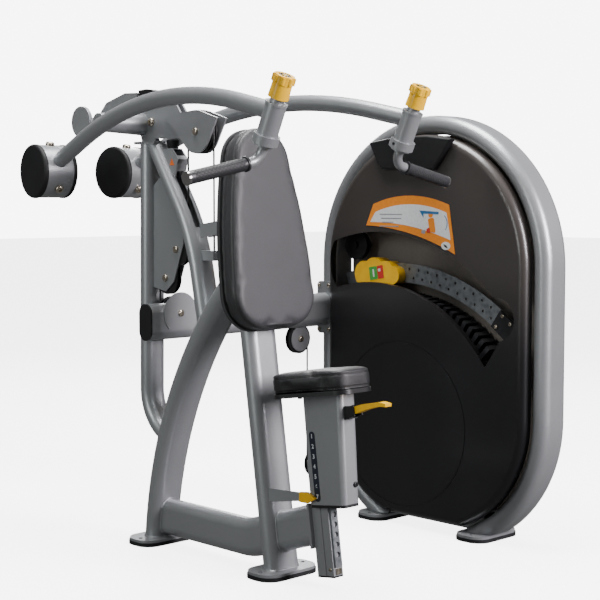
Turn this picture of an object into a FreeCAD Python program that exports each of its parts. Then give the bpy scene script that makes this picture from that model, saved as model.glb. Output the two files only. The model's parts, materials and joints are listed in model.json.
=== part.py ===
import FreeCAD, Part
import math
import os

# Shoulder press machine. Millimetres, +Z up, the user faces -Y, the weight tower stands at +X.
# The origin lies on the floor in the seat's mid-plane, under the middle of the front foot.

V = FreeCAD.Vector
X_DIR = V(1, 0, 0)
Y_DIR = V(0, 1, 0)
Z_DIR = V(0, 0, 1)
ORIGIN = V(0, 0, 0)
SHORTEST_RUN = 0.01
REACH = 400.0                # how far a trimming block reaches past what it trims

# Fits
RUN_FIT = 0.06               # radial clearance of a shaft that turns
SIDE_GAP = 1.0               # between faces that move past each other
SLIDE_GAP = 0.5              # between the seat's glides and the post

# Feet
PAD_T = 12.0
PLATE_T = 8.0
FOOT_LENGTH = 212.0
FOOT_WIDTH = 120.0
FOOT_CORNER_R = 50.0
FOOT_HOLE_R = 7.0
FOOT_HOLE_SPACING = 168.0
FOOT_TOP = PAD_T + PLATE_T

# Big flat-oval tube of the user's frame and the tower
BIG_LONG = 115.0
BIG_SHORT = 60.0
BIG_WALL = 3.0
# Smaller flat-oval tube of the mast and the upright
MID_LONG = 80.0
MID_SHORT = 50.0
MID_WALL = 3.0

# Front leg
FRONT_FOOT_Y = 0.0
FRONT_LEAN = 8.3
FRONT_LEG_TOP = 930.0
CAP_T = 6.0

# Rear leg: a straight foot, one large bend forward, then straight to the front leg
REAR_FOOT_Y = 559.0
REAR_CORNER = (0, 518, 515)
REAR_END = (0, 119, 904)
REAR_BEND_R = 1330.0

# Base tube: level from the rear leg, then bent up through the front leg to the seat post
BASE_HEIGHT = 84.0
BASE_CORNER_Y = 125.0
BASE_RISE = 17.9
BASE_BEND_R = 200.0

# Mast and rear upright carry the press arm's pivot
HEAD_PLATE_Z = 1254.0
HEAD_PLATE_T = 8.0
MAST_TOP = (0, 585, 1290)
MAST_CORNER = (0, 375, 975)
MAST_END = (0, 318, 700)
MAST_BEND_R = 600.0
UPRIGHT_TOP = (0, 592, 1275)
UPRIGHT_CORNER = (0, 603, 395)
UPRIGHT_END = (0, 495, 338)
UPRIGHT_BEND_R = 150.0
CABLE_SLOT = (24.0, 90.0, 950.0, 1215.0)     # width, depth, bottom and top of the slot in the mast

# Press arm
PIVOT = V(0, 628, 1318)
LUG_T = 16.0
LUG_R = 26.0
AXLE_R = 12.0
HUB_T = 6.0
HUB_COVER = 32.0
ARM_R = 24.5
ARM_WALL = 3.0
TOE = 5.28                   # each arm tube runs outwards by this angle towards the handles
DRUM_X = 153.0
DRUM_Y = 940.0
DRUM_Z = 1172.0
ARM_REAR_SLOPE = 22.4
ARM_FRONT_SLOPE = 12.5
ARM_BEND_R = 1400.0
ARM_REAR_POINT = (885.0, 1198.0)
ARM_FRONT_POINT = (-210.0, 1318.0)
CROSS_HUB_R = 36.0
CROSS_ARM_R = 28.0
DRUM_R = 85.0
DRUM_LENGTH = 92.0
DRUM_CAP_R = 87.0
DRUM_CAP_T = 15.0
DRUM_WALL = 14.0
DRUM_BOLTS = (-6.0, -130.0)                  # degrees about the drum from its top

# Yoke on the press arm's hub, with its pulley
YOKE_Y = 355.0
YOKE_Z = 1285.0
YOKE_T = 6.0
YOKE_R = 65.0
YOKE_PITCH_R = 60.0

# Handles
HANDLE_TILT = 24.4
HANDLE_Y = -217.0
HANDLE_Z = 1228.0
HANDLE_X = 263.0
SLEEVE_R = 28.5
SLEEVE_LENGTH = 112.0
SLEEVE_RING = 6.0
COLLAR_R = 36.0
COLLAR_LENGTH = 24.0
SHAFT_R = 19.0
SHAFT_RISE = 13.0            # shaft showing above the sleeve
GRIP_TUBE_R = 13.5
GRIP_DROP = 50.0
GRIP_BEND_R = 40.0
GRIP_END = (495.0, -186.0, 1135.0)
GRIP_R = 17.5
GRIP_LENGTH = 187.0
GRIP_CAP_T = 6.0
KNOB_R = 30.5
KNOB_HEIGHT = 62.0
KNOB_LOBES = 8

# Cable and guide pulleys
CABLE_R = 3.0
PITCH_R = 45.0
WHEEL_RIM = 6.0              # rim outside the cable's centre line
WHEEL_T = 18.0
BOLT_R = 6.0
GUARD_T = 4.0
CABLE_Y = 557.0              # where the cable runs down behind the mast
GUIDE_Z = 928.0
CROSS_WHEEL_Z = 725.0
CROSS_GUARD_R = 66.0
TOUCH_GAP = 0.4              # between the cable and a wheel that turns under it
HANGER_Z = 603.0
DROP_X = 644.0
BASE_WHEEL_Z = 160.0
CABLE_END_X = 752.0

# Cross tube to the tower
CROSS_Y = 545.0
CROSS_Z = 700.0
CROSS_LEFT = -65.0
FLANGE_T = 8.0
FLANGE = (66.0, 182.0)                       # width and height of the tower flange
FLANGE_SHIFT = 6.0
FLANGE_SCREWS = (24.0, 77.0)

# Tower
TOWER_X = 780.0
TOWER_Y = 88.0
TOWER_HALF = 455.0
TOWER_TOP_CENTRE = 868.0
TOWER_LOW_CORNER = 157.5
TOWER_LOW_R = 420.0
TOWER_LOW_TURN = 60.0
SHROUD_GAP = 3.0
SHROUD_FRONT = 695.0
SHROUD_BACK = 734.0
SHROUD_WALL = 4.0
SHROUD_ROUND = 24.0
SHROUD_FLOOR = 36.0
BACK_PANEL_X = 824.0
BACK_PANEL_T = 4.0
BASE_BAR = (70.0, 60.0, 24.0)                # width, height and underside of the tower's floor bar
RELIEF = (165.0, 341.0, 275.0)               # centre and radius of the shroud's round groove
RELIEF_WIDTH = 4.0
RELIEF_DEPTH = 1.5
RIM = (295.0, 218.0, 587.0)                  # circle along the window's lower edge
WINDOW_TOP = (275.0, 269.0, 708.0)           # circle along the window's upper edge
WINDOW_ENDS = (-262.0, 485.0)
LIP_T = 4.0
LIP_DEPTH = 16.0

# Selector arc and the weight lever in the tower
ARC_CENTRE = V(0, 220, 130)
ARC_INNER_R = 676.0
ARC_OUTER_R = 740.0
ARC_X = 752.0
ARC_T = 5.0
ARC_REAR = 20.0              # degrees behind and before the vertical
ARC_FRONT = 41.0
ARC_HOLE_R = 4.5
SELECTOR_ANGLE = 9.0
LEVER_CENTRE = V(0, 230, 215)
LEVER_R = 500.0
LEVER_X = 778.0
LEVER_T = 12.0
LEVER_FRONT = 46.0
PLATE_COUNT = 15
WEIGHT_T = 16.0
WEIGHT_HEIGHT = 56.0
WEIGHT_WIDTH = 62.0

# Backrest, square to the front leg
BOARD_T = 12.0
BOARD_OFFSET = 31.0
BACK_PAD_T = 60.0
BACK_BOTTOM = 681.0
BACK_LENGTH = 595.0
BACK_HALF = 160.0
BACK_SIDE_R = 1595.0
BACK_CORNER_R = 110.0
BOARD_INSET = 4.0

# Seat post and seat carriage
SEAT_LEAN = 8.0
SEAT_FOOT = V(0, -199.5, 35.5)
POST_X = 36.0
POST_Y = 64.0
POST_WALL = 3.0
GROOVE_DEPTH = 1.8
GROOVE_WIDTH = 12.0
SEAT_TRAVEL = 168.0
SLEEVE_X = 65.0
SLEEVE_WALL = 4.0
SLEEVE_BOTTOM = 200.0
SLEEVE_TOP = 504.0
SLEEVE_REAR = (15.0, 8.0)                    # rear edge behind the post's axis, bottom and top
SLEEVE_FRONT = (-113.0, -137.0)
SLEEVE_ROUND = 15.0
STRIP_X = 26.0
STRIP_T = 6.0
LATCH_PITCH = 28.0
PLATE_LINK_T = 8.0
PAN_T = 12.0
SEAT_PAD_T = 57.0
SEAT_REAR = 75.0
SEAT_LENGTH = 260.0
SEAT_REAR_HALF = 120.0
SEAT_FRONT_HALF = 66.0
SEAT_CORNER_R = 44.0
# Seat lever and the pointer to the height scale
LEVER_BRACKET_Z = 446.0
LEVER_PIN_Y = -158.0
LEVER_PIN_Z = 457.0
LEVER_PIN_R = 4.0
POINTER_X = -40.0


# ---------------------------------------------------------------- helpers

def sine(angle):
    return math.sin(math.radians(angle))


def cosine(angle):
    return math.cos(math.radians(angle))


def tangent(angle):
    return math.tan(math.radians(angle))


def unit(vector):
    return V(vector).normalize()


def placed(shape, origin, z_dir, x_dir):
    """The shape with its own Z turned to z_dir, its X as near x_dir as it gets, at origin."""
    z_axis = unit(z_dir)
    y_axis = unit(z_axis.cross(x_dir))
    turn = FreeCAD.Rotation(y_axis.cross(z_axis), y_axis, z_axis, "ZXY")
    moved = shape.copy()
    moved.Placement = FreeCAD.Placement(origin, turn).multiply(shape.Placement)
    return moved


def leaned(shape, origin, angle):
    """The shape tipped back about X, so that its top moves towards +Y, at origin."""
    moved = shape.copy()
    turn = FreeCAD.Placement(origin, FreeCAD.Rotation(X_DIR, -angle))
    moved.Placement = turn.multiply(shape.Placement)
    return moved


def box(low, high):
    return Part.makeBox(high[0] - low[0], high[1] - low[1], high[2] - low[2], V(*low))


def rod(radius, start, end):
    return Part.makeCylinder(radius, (end - start).Length, start, end - start)


def largest(shape):
    return max(shape.Solids, key=lambda solid: solid.Volume)


def joined(shapes):
    """One clean solid from shapes that touch or overlap."""
    whole = shapes[0].fuse(shapes[1:]) if len(shapes) > 1 else shapes[0]
    return largest(whole.removeSplitter())


def group(shapes):
    return Part.makeCompound(shapes)


def oval(width, height):
    """A flat oval in the XY plane: straight along its longer side, with half-round ends."""
    radius = min(width, height) / 2
    straight = abs(width - height) / 2
    corners = [V(-straight, -radius), V(straight, -radius), V(straight, radius), V(-straight, radius)]
    far = V(straight + radius, 0)
    wire = Part.Wire([
        Part.makeLine(corners[0], corners[1]),
        Part.Arc(corners[1], far, corners[2]).toShape(),
        Part.makeLine(corners[2], corners[3]),
        Part.Arc(corners[3], far * -1, corners[0]).toShape(),
    ])
    face = Part.Face(wire)
    if height > width:
        face.rotate(ORIGIN, Z_DIR, 90)
    return face


def disc(radius):
    return Part.Face(Part.Wire(Part.makeCircle(radius)))


def bent(points, radii, face, across):
    """A solid of one section along straight runs joined by arcs; the section's X lies across."""
    points = [V(*point) for point in points]
    runs = [unit(end - start) for start, end in zip(points, points[1:])]
    setback = [0.0] * len(points)
    for i, radius in enumerate(radii, 1):
        setback[i] = radius * math.tan(runs[i - 1].getAngle(runs[i]) / 2)
    pieces = []
    for i, run in enumerate(runs):
        start = points[i] + run * setback[i]
        length = (points[i + 1] - points[i]).Length - setback[i] - setback[i + 1]
        if length > SHORTEST_RUN:
            pieces.append(placed(face, start, run, across).extrude(run * length))
        if i + 1 < len(runs):
            bend_start = start + run * length
            axis = unit(run.cross(runs[i + 1]))
            centre = bend_start + axis.cross(run) * radii[i]
            turn = math.degrees(run.getAngle(runs[i + 1]))
            pieces.append(placed(face, bend_start, run, across).revolve(centre, axis, turn))
    return joined(pieces)


def ground(points):
    """A face in the YZ plane from (Y, Z) corners."""
    corners = [V(0, y, z) for y, z in points]
    return Part.Face(Part.makePolygon(corners + corners[:1]))


def slab(points, x_low, x_high):
    """A flat plate square to X between two stations, from (Y, Z) corners."""
    face = ground(points)
    face.translate(V(x_low, 0, 0))
    return face.extrude(V(x_high - x_low, 0, 0))


def outline(edges, x_low, x_high):
    """A flat plate square to X from a closed run of edges in the YZ plane."""
    face = Part.Face(Part.Wire(edges))
    face.translate(V(x_low, 0, 0))
    return face.extrude(V(x_high - x_low, 0, 0))


def line(start, end):
    return Part.makeLine(V(0, *start), V(0, *end))


def arc(start, middle, end):
    return Part.Arc(V(0, *start), V(0, *middle), V(0, *end)).toShape()


def on_circle(circle, angle):
    """The (Y, Z) point of a (Y, Z, R) circle, the angle taken from the top towards -Y."""
    return (circle[0] - circle[2] * sine(angle), circle[1] + circle[2] * cosine(angle))


def band(centre, inner, outer, front, rear, x_low, x_high):
    """A ring sector square to X, from rear degrees behind to front degrees before the top."""
    rings = [(centre.y, centre.z, inner), (centre.y, centre.z, outer)]
    middle = (front - rear) / 2
    low = [on_circle(rings[0], a) for a in (-rear, middle, front)]
    high = [on_circle(rings[1], a) for a in (-rear, middle, front)]
    edges = [arc(*high), line(high[2], low[2]), arc(low[2], low[1], low[0]), line(low[0], high[0])]
    return outline(edges, x_low, x_high)


def teardrop(centre, radius, corners, x_low, x_high):
    """A plate round about its centre and reaching to the corners, all in (Y, Z)."""
    body = rod(radius, V(x_low, *centre), V(x_high, *centre))
    pieces = [body]
    for corner in corners:
        to_corner = V(0, corner[0] - centre[0], corner[1] - centre[1])
        reach = to_corner.Length
        swing = math.degrees(math.acos(radius / reach))
        for side in (-1, 1):
            turn = FreeCAD.Rotation(X_DIR, side * swing)
            touch = turn.multVec(unit(to_corner) * radius)
            points = [centre, corner, (centre[0] + touch.y, centre[1] + touch.z)]
            pieces.append(slab(points, x_low, x_high))
    if len(corners) == 2:
        pieces.append(slab([centre, corners[0], corners[1]], x_low, x_high))
    return joined(pieces)


def wheel(centre, axis, pitch_r):
    """A grooved cable wheel with a bore for its bolt."""
    outer = pitch_r + WHEEL_RIM
    floor = pitch_r - CABLE_R - TOUCH_GAP
    half = WHEEL_T / 2
    lip = CABLE_R + 0.6
    side = [V(BOLT_R + RUN_FIT, 0, -half), V(outer, 0, -half), V(outer, 0, -lip - 1),
            V(floor, 0, -lip + 1), V(floor, 0, lip - 1), V(outer, 0, lip + 1),
            V(outer, 0, half), V(BOLT_R + RUN_FIT, 0, half)]
    ring = Part.Face(Part.makePolygon(side + side[:1])).revolve(ORIGIN, Z_DIR, 360)
    return placed(ring, centre, axis, Y_DIR if abs(axis.y) < 0.5 else X_DIR)


def bolt(start, end, head=11.0, thick=7.0):
    """A round shank with a domed head on each end."""
    way = unit(end - start)
    pieces = [rod(BOLT_R, start, end)]
    for tip, out in ((start, way * -1), (end, way)):
        cap = Part.makeCylinder(head, thick)
        cap = cap.makeFillet(thick * 0.6, [cap.Edges[0]])
        pieces.append(placed(cap, tip, out, V(out.y, out.z, out.x)))
    return joined(pieces)


def screw_head(point, way, radius=8.0, thick=6.0):
    """A domed screw head seated on a face."""
    cap = Part.makeCylinder(radius, thick)
    cap = cap.makeFillet(thick * 0.6, [cap.Edges[0]])
    socket = Part.makeCylinder(radius * 0.38, thick / 2, V(0, 0, thick / 2))
    return placed(cap.cut(socket), point, way, V(way.y, way.z, way.x))


# ---------------------------------------------------------------- feet

TOWER_FOOT_SHIFT = (TOWER_LOW_CORNER - FOOT_TOP) * tangent(TOWER_LOW_TURN)
TOWER_FEET_Y = [TOWER_Y - TOWER_HALF + TOWER_FOOT_SHIFT, TOWER_Y + TOWER_HALF - TOWER_FOOT_SHIFT]
FEET = [(0, FRONT_FOOT_Y), (0, REAR_FOOT_Y)] + [(TOWER_X, y) for y in TOWER_FEET_Y]


def foot(at, bottom, thick, grow):
    length = FOOT_LENGTH + 2 * grow
    width = FOOT_WIDTH + 2 * grow
    low = (at[0] - length / 2, at[1] - width / 2, bottom)
    body = box(low, (low[0] + length, low[1] + width, bottom + thick))
    upright = [edge for edge in body.Edges if abs(edge.tangentAt(edge.FirstParameter).z) > 0.9]
    body = body.makeFillet(FOOT_CORNER_R, upright)
    for side in (-1, 1):
        hole = V(at[0] + side * FOOT_HOLE_SPACING / 2, at[1], bottom)
        body = body.cut(rod(FOOT_HOLE_R, hole, hole + Z_DIR * thick))
    return body


def foot_pads():
    return group([foot(at, 0.0, PAD_T, 2.0) for at in FEET])


def foot_plates():
    return group([foot(at, PAD_T, PLATE_T, 0.0) for at in FEET])


# ---------------------------------------------------------------- user's frame

def leg_point(height):
    """The (X, Y, Z) point of the front leg's axis at a height."""
    return (0, FRONT_FOOT_Y + 3 + (height - FOOT_TOP) * tangent(FRONT_LEAN), height)


def front_leg_body(shrink=0.0):
    face = oval(BIG_LONG - shrink, BIG_SHORT - shrink)
    low = leg_point(FOOT_TOP - BIG_SHORT)
    body = bent([low, leg_point(FRONT_LEG_TOP)], [], face, X_DIR)
    return largest(body.cut(box((-REACH, -REACH, -REACH), (REACH, REACH, FOOT_TOP))))


def front_leg():
    return front_leg_body().cut(front_leg_body(2 * BIG_WALL))


def rear_leg_body(shrink=0.0):
    face = oval(BIG_LONG - shrink, BIG_SHORT - shrink)
    lean = (REAR_CORNER[1] - REAR_FOOT_Y) / (REAR_CORNER[2] - FOOT_TOP)
    low = (0, REAR_FOOT_Y - lean * BIG_SHORT, FOOT_TOP - BIG_SHORT)
    body = bent([low, REAR_CORNER, REAR_END], [REAR_BEND_R], face, X_DIR)
    floor = box((-REACH, 0, -REACH), (REACH, 2 * REACH, FOOT_TOP))
    return largest(body.cut(floor))


def rear_leg():
    tube = rear_leg_body().cut(rear_leg_body(2 * BIG_WALL))
    return largest(tube.cut(front_leg_body()))


def base_run(shrink=0.0):
    """The whole base tube, from inside the rear leg through the front leg to the seat post."""
    face = oval(BIG_SHORT - shrink, BIG_LONG - shrink)
    rise = REACH * tangent(BASE_RISE)
    points = [(0, REAR_FOOT_Y, BASE_HEIGHT), (0, BASE_CORNER_Y, BASE_HEIGHT),
              (0, BASE_CORNER_Y - REACH, BASE_HEIGHT + rise)]
    return bent(points, [BASE_BEND_R], face, X_DIR)


def base_pieces():
    tube = base_run().cut(base_run(2 * BIG_WALL))
    tube = tube.cut(rear_leg_body())
    tube = tube.cut(front_leg_body())
    ahead = box((-REACH, -REACH, -REACH), (REACH, POST_Y / 2 + PLATE_LINK_T, 2 * REACH))
    tube = tube.cut(leaned(ahead, SEAT_FOOT, SEAT_LEAN))
    pieces = sorted(tube.Solids, key=lambda solid: solid.Volume)[-2:]
    return sorted(pieces, key=lambda solid: solid.CenterOfMass.y)


def base_tube():
    return base_pieces()[1]


def link_tube():
    return base_pieces()[0]


def link_plate():
    half = BIG_SHORT / 2
    rear = POST_Y / 2
    plate = box((-half, rear, 76), (half, rear + PLATE_LINK_T, 202))
    return leaned(plate, SEAT_FOOT, SEAT_LEAN)


def above_head():
    return box((-REACH, 0, HEAD_PLATE_Z), (REACH, 3 * REACH, HEAD_PLATE_Z + REACH))


def upright_body(shrink=0.0):
    face = oval(MID_LONG - shrink, MID_SHORT - shrink)
    points = [UPRIGHT_TOP, UPRIGHT_CORNER, UPRIGHT_END]
    return bent(points, [UPRIGHT_BEND_R], face, X_DIR).cut(above_head())


def rear_upright():
    tube = upright_body().cut(upright_body(2 * MID_WALL))
    return largest(tube.cut(rear_leg_body()))


def mast_body(shrink=0.0):
    face = oval(MID_LONG - shrink, MID_SHORT - shrink)
    return bent([MAST_TOP, MAST_CORNER, MAST_END], [MAST_BEND_R], face, X_DIR)


def mast():
    tube = mast_body().cut(mast_body(2 * MID_WALL))
    tube = tube.cut(above_head()).cut(upright_body()).cut(rear_leg_body())
    width, depth, bottom, top = CABLE_SLOT
    slot_y = YOKE_Y + YOKE_PITCH_R
    slot = box((-width / 2, slot_y - depth / 2, bottom), (width / 2, slot_y + depth, top))
    return largest(largest(tube).cut(slot))


def pivot_head():
    """The mast's top plate with the lug that holds the pivot axle."""
    plate = box((-MID_LONG / 2, 532, HEAD_PLATE_Z), (MID_LONG / 2, 634, HEAD_PLATE_Z + HEAD_PLATE_T))
    half = LUG_T / 2
    base = HEAD_PLATE_Z + HEAD_PLATE_T
    lug = slab([(560, base), (634, base), (PIVOT.y + LUG_R, PIVOT.z), (PIVOT.y - LUG_R, PIVOT.z)],
               -half, half)
    boss = rod(LUG_R, PIVOT - X_DIR * half, PIVOT + X_DIR * half)
    head = joined([plate, lug, boss])
    return head.cut(rod(AXLE_R, PIVOT - X_DIR * half, PIVOT + X_DIR * half))


def pivot_axle():
    half = LUG_T / 2 + SIDE_GAP + HUB_T
    return rod(AXLE_R, PIVOT - X_DIR * half, PIVOT + X_DIR * half)


def bumper_bracket():
    """A curved fin on the mast's front that carries the arm's rubber stop."""
    points = [(508, 1195), (455, 1150), (440, 1205), (470, 1238), (528, 1238)]
    fin = slab(points, -20, 20)
    fin = fin.cut(slab([(600, 1100), (450, 1100), (450, 1236), (600, 1236)], -16, 16))
    return largest(fin.cut(mast_body()))


def bumper():
    stud = Part.makeCone(17, 20, 20, V(0, 489, 1238), Z_DIR)
    top = Part.makeCylinder(20, 8, V(0, 489, 1258), Z_DIR)
    return joined([stud, top.makeFillet(5, [top.Edges[0]])])


def cross_tube_body(shrink=0.0):
    face = oval(BIG_SHORT - shrink, BIG_LONG - shrink)
    end = TOWER_X - BIG_LONG / 2 - FLANGE_T
    return bent([(CROSS_LEFT, CROSS_Y, CROSS_Z), (end, CROSS_Y, CROSS_Z)], [], face, Y_DIR)


def cross_tube():
    tube = cross_tube_body().cut(cross_tube_body(2 * BIG_WALL)).cut(upright_body())
    slack = WHEEL_T / 2 + 5
    outer = PITCH_R + WHEEL_RIM + 6
    over = box((PITCH_R - outer, CABLE_Y - slack, CROSS_Z), (PITCH_R + outer, CABLE_Y + slack, 800))
    hang_x = DROP_X - PITCH_R
    under = box((hang_x - 90, CABLE_Y - slack, 600), (hang_x + outer, CABLE_Y + slack, CROSS_Z - 20))
    tube = largest(tube.cut(over).cut(under))
    axle = rod(BOLT_R, V(PITCH_R, CROSS_Y - REACH, CROSS_WHEEL_Z), V(PITCH_R, CROSS_Y + REACH, CROSS_WHEEL_Z))
    return largest(tube.cut(axle))


def tower_flange():
    """The plate on the tower's rear leg that the cross tube is bolted to."""
    x_high = TOWER_X - BIG_LONG / 2
    half = FLANGE[0] / 2
    middle = CROSS_Z + FLANGE_SHIFT
    low = (x_high - FLANGE_T, CROSS_Y - half, middle - FLANGE[1] / 2)
    body = box(low, (x_high, CROSS_Y + half, middle + FLANGE[1] / 2))
    along = [edge for edge in body.Edges if abs(edge.tangentAt(edge.FirstParameter).x) > 0.9]
    return body.makeFillet(14, along)


def tube_caps():
    """Plastic plugs on the cross tube's free end, the front leg's top and the seat post's foot."""
    cross = oval(BIG_SHORT, BIG_LONG).extrude(Z_DIR * CAP_T)
    cross = placed(cross, V(CROSS_LEFT, CROSS_Y, CROSS_Z), X_DIR * -1, Y_DIR)
    top = leg_point(FRONT_LEG_TOP)
    leg_dir = V(0, sine(FRONT_LEAN), cosine(FRONT_LEAN))
    leg = placed(oval(BIG_LONG, BIG_SHORT).extrude(Z_DIR * CAP_T), V(*top), leg_dir, X_DIR)
    post = box((-POST_X / 2, -POST_Y / 2, -5), (POST_X / 2, POST_Y / 2, 0))
    return group([cross, leg, leaned(post, SEAT_FOOT, SEAT_LEAN)])


# ---------------------------------------------------------------- press arm

def arm_x(y):
    return DRUM_X + (DRUM_Y - y) * tangent(TOE)


def arm_path(side):
    """Drum centre, the bend's corner and the handle's axis."""
    rear_y, rear_z = ARM_REAR_POINT
    front_y, front_z = ARM_FRONT_POINT
    rear = tangent(ARM_REAR_SLOPE)
    front = tangent(ARM_FRONT_SLOPE)
    corner_y = (rear_z - front_z + rear * rear_y + front * front_y) / (rear + front)
    corner_z = rear_z + (rear_y - corner_y) * rear
    start_z = rear_z - (DRUM_Y - rear_y) * rear
    end_y = -253.0
    end_z = front_z + (end_y - front_y) * front
    path = [(DRUM_Y, start_z), (corner_y, corner_z), (end_y, end_z)]
    return [(side * arm_x(y), y, z) for y, z in path]


def arm_across(side):
    """The direction across the plane of one arm tube, out of which the drum's axis lies."""
    return V(cosine(TOE), side * sine(TOE), 0)


def arm_body(side, radius):
    return bent(arm_path(side), [ARM_BEND_R], disc(radius), arm_across(side))


def drum_centre(side):
    return V(side * DRUM_X, DRUM_Y, DRUM_Z)


def drum_rod(side, radius, length):
    half = arm_across(side) * (length / 2)
    return rod(radius, drum_centre(side) - half, drum_centre(side) + half)


def handle_axis():
    return V(0, -sine(HANDLE_TILT), cosine(HANDLE_TILT))


def handle_foot(side):
    return V(side * HANDLE_X, HANDLE_Y, HANDLE_Z)


def along_handle(side, distance):
    return handle_foot(side) + handle_axis() * distance


def sleeve_body(side, radius):
    return rod(radius, along_handle(side, 0), along_handle(side, SLEEVE_LENGTH))


def sleeve_outside(side):
    """The sleeve with its stop collar at the foot and its thin ring at the top."""
    collar = rod(COLLAR_R, along_handle(side, 0), along_handle(side, COLLAR_LENGTH))
    ring_start = along_handle(side, SLEEVE_LENGTH - SLEEVE_RING)
    ring = rod(SLEEVE_R + 1.5, ring_start, along_handle(side, SLEEVE_LENGTH))
    return joined([sleeve_body(side, SLEEVE_R), collar, ring])


def arm_tube(side):
    tube = arm_body(side, ARM_R).cut(arm_body(side, ARM_R - ARM_WALL))
    tube = tube.cut(drum_rod(side, DRUM_R, DRUM_LENGTH))
    return largest(largest(tube).cut(sleeve_outside(side)))


def arm_cross():
    """Tapered tubes from the hub out to both arm tubes, round the pivot's axis."""
    reach = arm_x(PIVOT.y)
    start = LUG_T / 2 + SIDE_GAP + HUB_T
    pieces = []
    for side in (-1, 1):
        root = PIVOT + X_DIR * (side * start)
        cone = Part.makeCone(CROSS_HUB_R, CROSS_ARM_R, reach - start, root, X_DIR * side)
        pieces.append(largest(cone.cut(arm_body(side, ARM_R))))
    return group(pieces)


HUB_CORNERS = [(432, 1268), (560, 1271), (640, 1288), (700, 1340), (706, 1372), (640, 1398),
               (470, 1392), (430, 1340)]


def arm_hub():
    """Two side plates with a top web, turning on the pivot axle's ends."""
    inner = LUG_T / 2 + SIDE_GAP
    outer = inner + HUB_T
    plates = [slab(HUB_CORNERS, x, x + HUB_T) for x in (-outer, inner)]
    web = slab([(640, 1398), (470, 1392), (472, 1384), (638, 1390)], -outer, outer)
    hub = joined(plates + [web])
    axle = rod(AXLE_R + RUN_FIT, PIVOT - X_DIR * outer, PIVOT + X_DIR * outer)
    return largest(hub.cut(axle))


def yoke_stations():
    outer = LUG_T / 2 + SIDE_GAP + HUB_T
    return [(-outer - YOKE_T, -outer), (outer, outer + YOKE_T)]


def yoke_plates():
    """Teardrop plates outside the hub's plates that hold the yoke pulley."""
    corners = [(YOKE_Y + 152, YOKE_Z + 54), (YOKE_Y - 98, YOKE_Z + 38)]
    pieces = []
    for low, high in yoke_stations():
        plate = teardrop((YOKE_Y, YOKE_Z), YOKE_R, corners, low, high)
        hole = rod(BOLT_R, V(low, YOKE_Y, YOKE_Z), V(high, YOKE_Y, YOKE_Z))
        pieces.append(largest(plate.cut(hole)))
    return group(pieces)


def arm_bolts():
    """The yoke pulley's bolt, the hub's side bolts and the drums' dome bolts."""
    reach = yoke_stations()[1][1]
    at = V(0, YOKE_Y, YOKE_Z)
    pieces = [bolt(at - X_DIR * reach, at + X_DIR * reach)]
    side_x = yoke_stations()[1][0]
    for side in (-1, 1):
        pieces.append(screw_head(V(side * side_x, 576, 1322), X_DIR * side, 13, 9))
        across = arm_across(side)
        for angle in DRUM_BOLTS:
            out = V(0, sine(angle), cosine(angle))
            out = unit(out - across * out.dot(across))
            pieces.append(screw_head(drum_centre(side) + out * DRUM_R, out, 14, 11))
    return group(pieces)


def drum_shells():
    shells = []
    for side in (-1, 1):
        room = drum_rod(side, DRUM_R - DRUM_WALL, DRUM_LENGTH)
        shells.append(drum_rod(side, DRUM_R, DRUM_LENGTH).cut(room))
    return group(shells)


def drum_caps():
    """Domed rubber caps on both ends of each drum."""
    pieces = []
    for side in (-1, 1):
        for end in (-1, 1):
            cap = Part.makeCylinder(DRUM_CAP_R, DRUM_CAP_T)
            cap = cap.makeFillet(8, [cap.Edges[0]])
            out = arm_across(side) * end
            pieces.append(placed(cap, drum_centre(side) + out * (DRUM_LENGTH / 2), out, Z_DIR))
    return group(pieces)


def counterweight():
    """A small disc on a short stub, behind the hub's raised bracket."""
    stub_end = -yoke_stations()[1][0] - 10
    face_x = -84.0
    at = V(0, 842, 1330)
    plate = slab([(700, 1352), (852, 1305), (866, 1330), (800, 1392), (700, 1418), (640, 1416),
                  (640, 1398)], stub_end, stub_end + 10)
    stub = rod(16, at + X_DIR * face_x, at + X_DIR * stub_end)
    weight = rod(50, at + X_DIR * (face_x - 12), at + X_DIR * face_x)
    return joined([plate, stub, weight])


def hub_cover():
    """Black wedge-shaped cover on top of the hub."""
    top = [(470, 1392), (640, 1398)]
    return slab(top + [(640, 1424), (600, 1426), (470, 1408)], -HUB_COVER / 2, HUB_COVER / 2)


def handle_sleeves():
    """Sleeves across the arm tubes' ends, each with a stop collar at the foot."""
    pieces = []
    for side in (-1, 1):
        body = sleeve_outside(side).cut(sleeve_body(side, SHAFT_R + RUN_FIT))
        index = placed(Part.makeCylinder(5, COLLAR_R), along_handle(side, COLLAR_LENGTH / 2),
                       X_DIR * -side, handle_axis())
        pieces.append(largest(body.cut(index)))
    return group(pieces)


# ---------------------------------------------------------------- grips and knobs

def grip_path(side):
    end = V(side * GRIP_END[0], GRIP_END[1], GRIP_END[2])
    corner = along_handle(side, -GRIP_DROP)
    return [tuple(along_handle(side, 1)), tuple(corner), tuple(end)]


def grip_way(side):
    start, end = [V(*point) for point in grip_path(side)[1:]]
    return unit(end - start)


def grip_tube(side):
    """The bent grip rod below and the shaft that turns in the sleeve."""
    rod_part = bent(grip_path(side), [GRIP_BEND_R], disc(GRIP_TUBE_R), X_DIR)
    shaft = rod(SHAFT_R, along_handle(side, 0), along_handle(side, SLEEVE_LENGTH + SHAFT_RISE))
    flange = rod(SHAFT_R + 8, along_handle(side, -7), along_handle(side, -SIDE_GAP))
    neck = rod(SHAFT_R, along_handle(side, -SIDE_GAP), along_handle(side, 1))
    return joined([rod_part, shaft, flange, neck])


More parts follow.
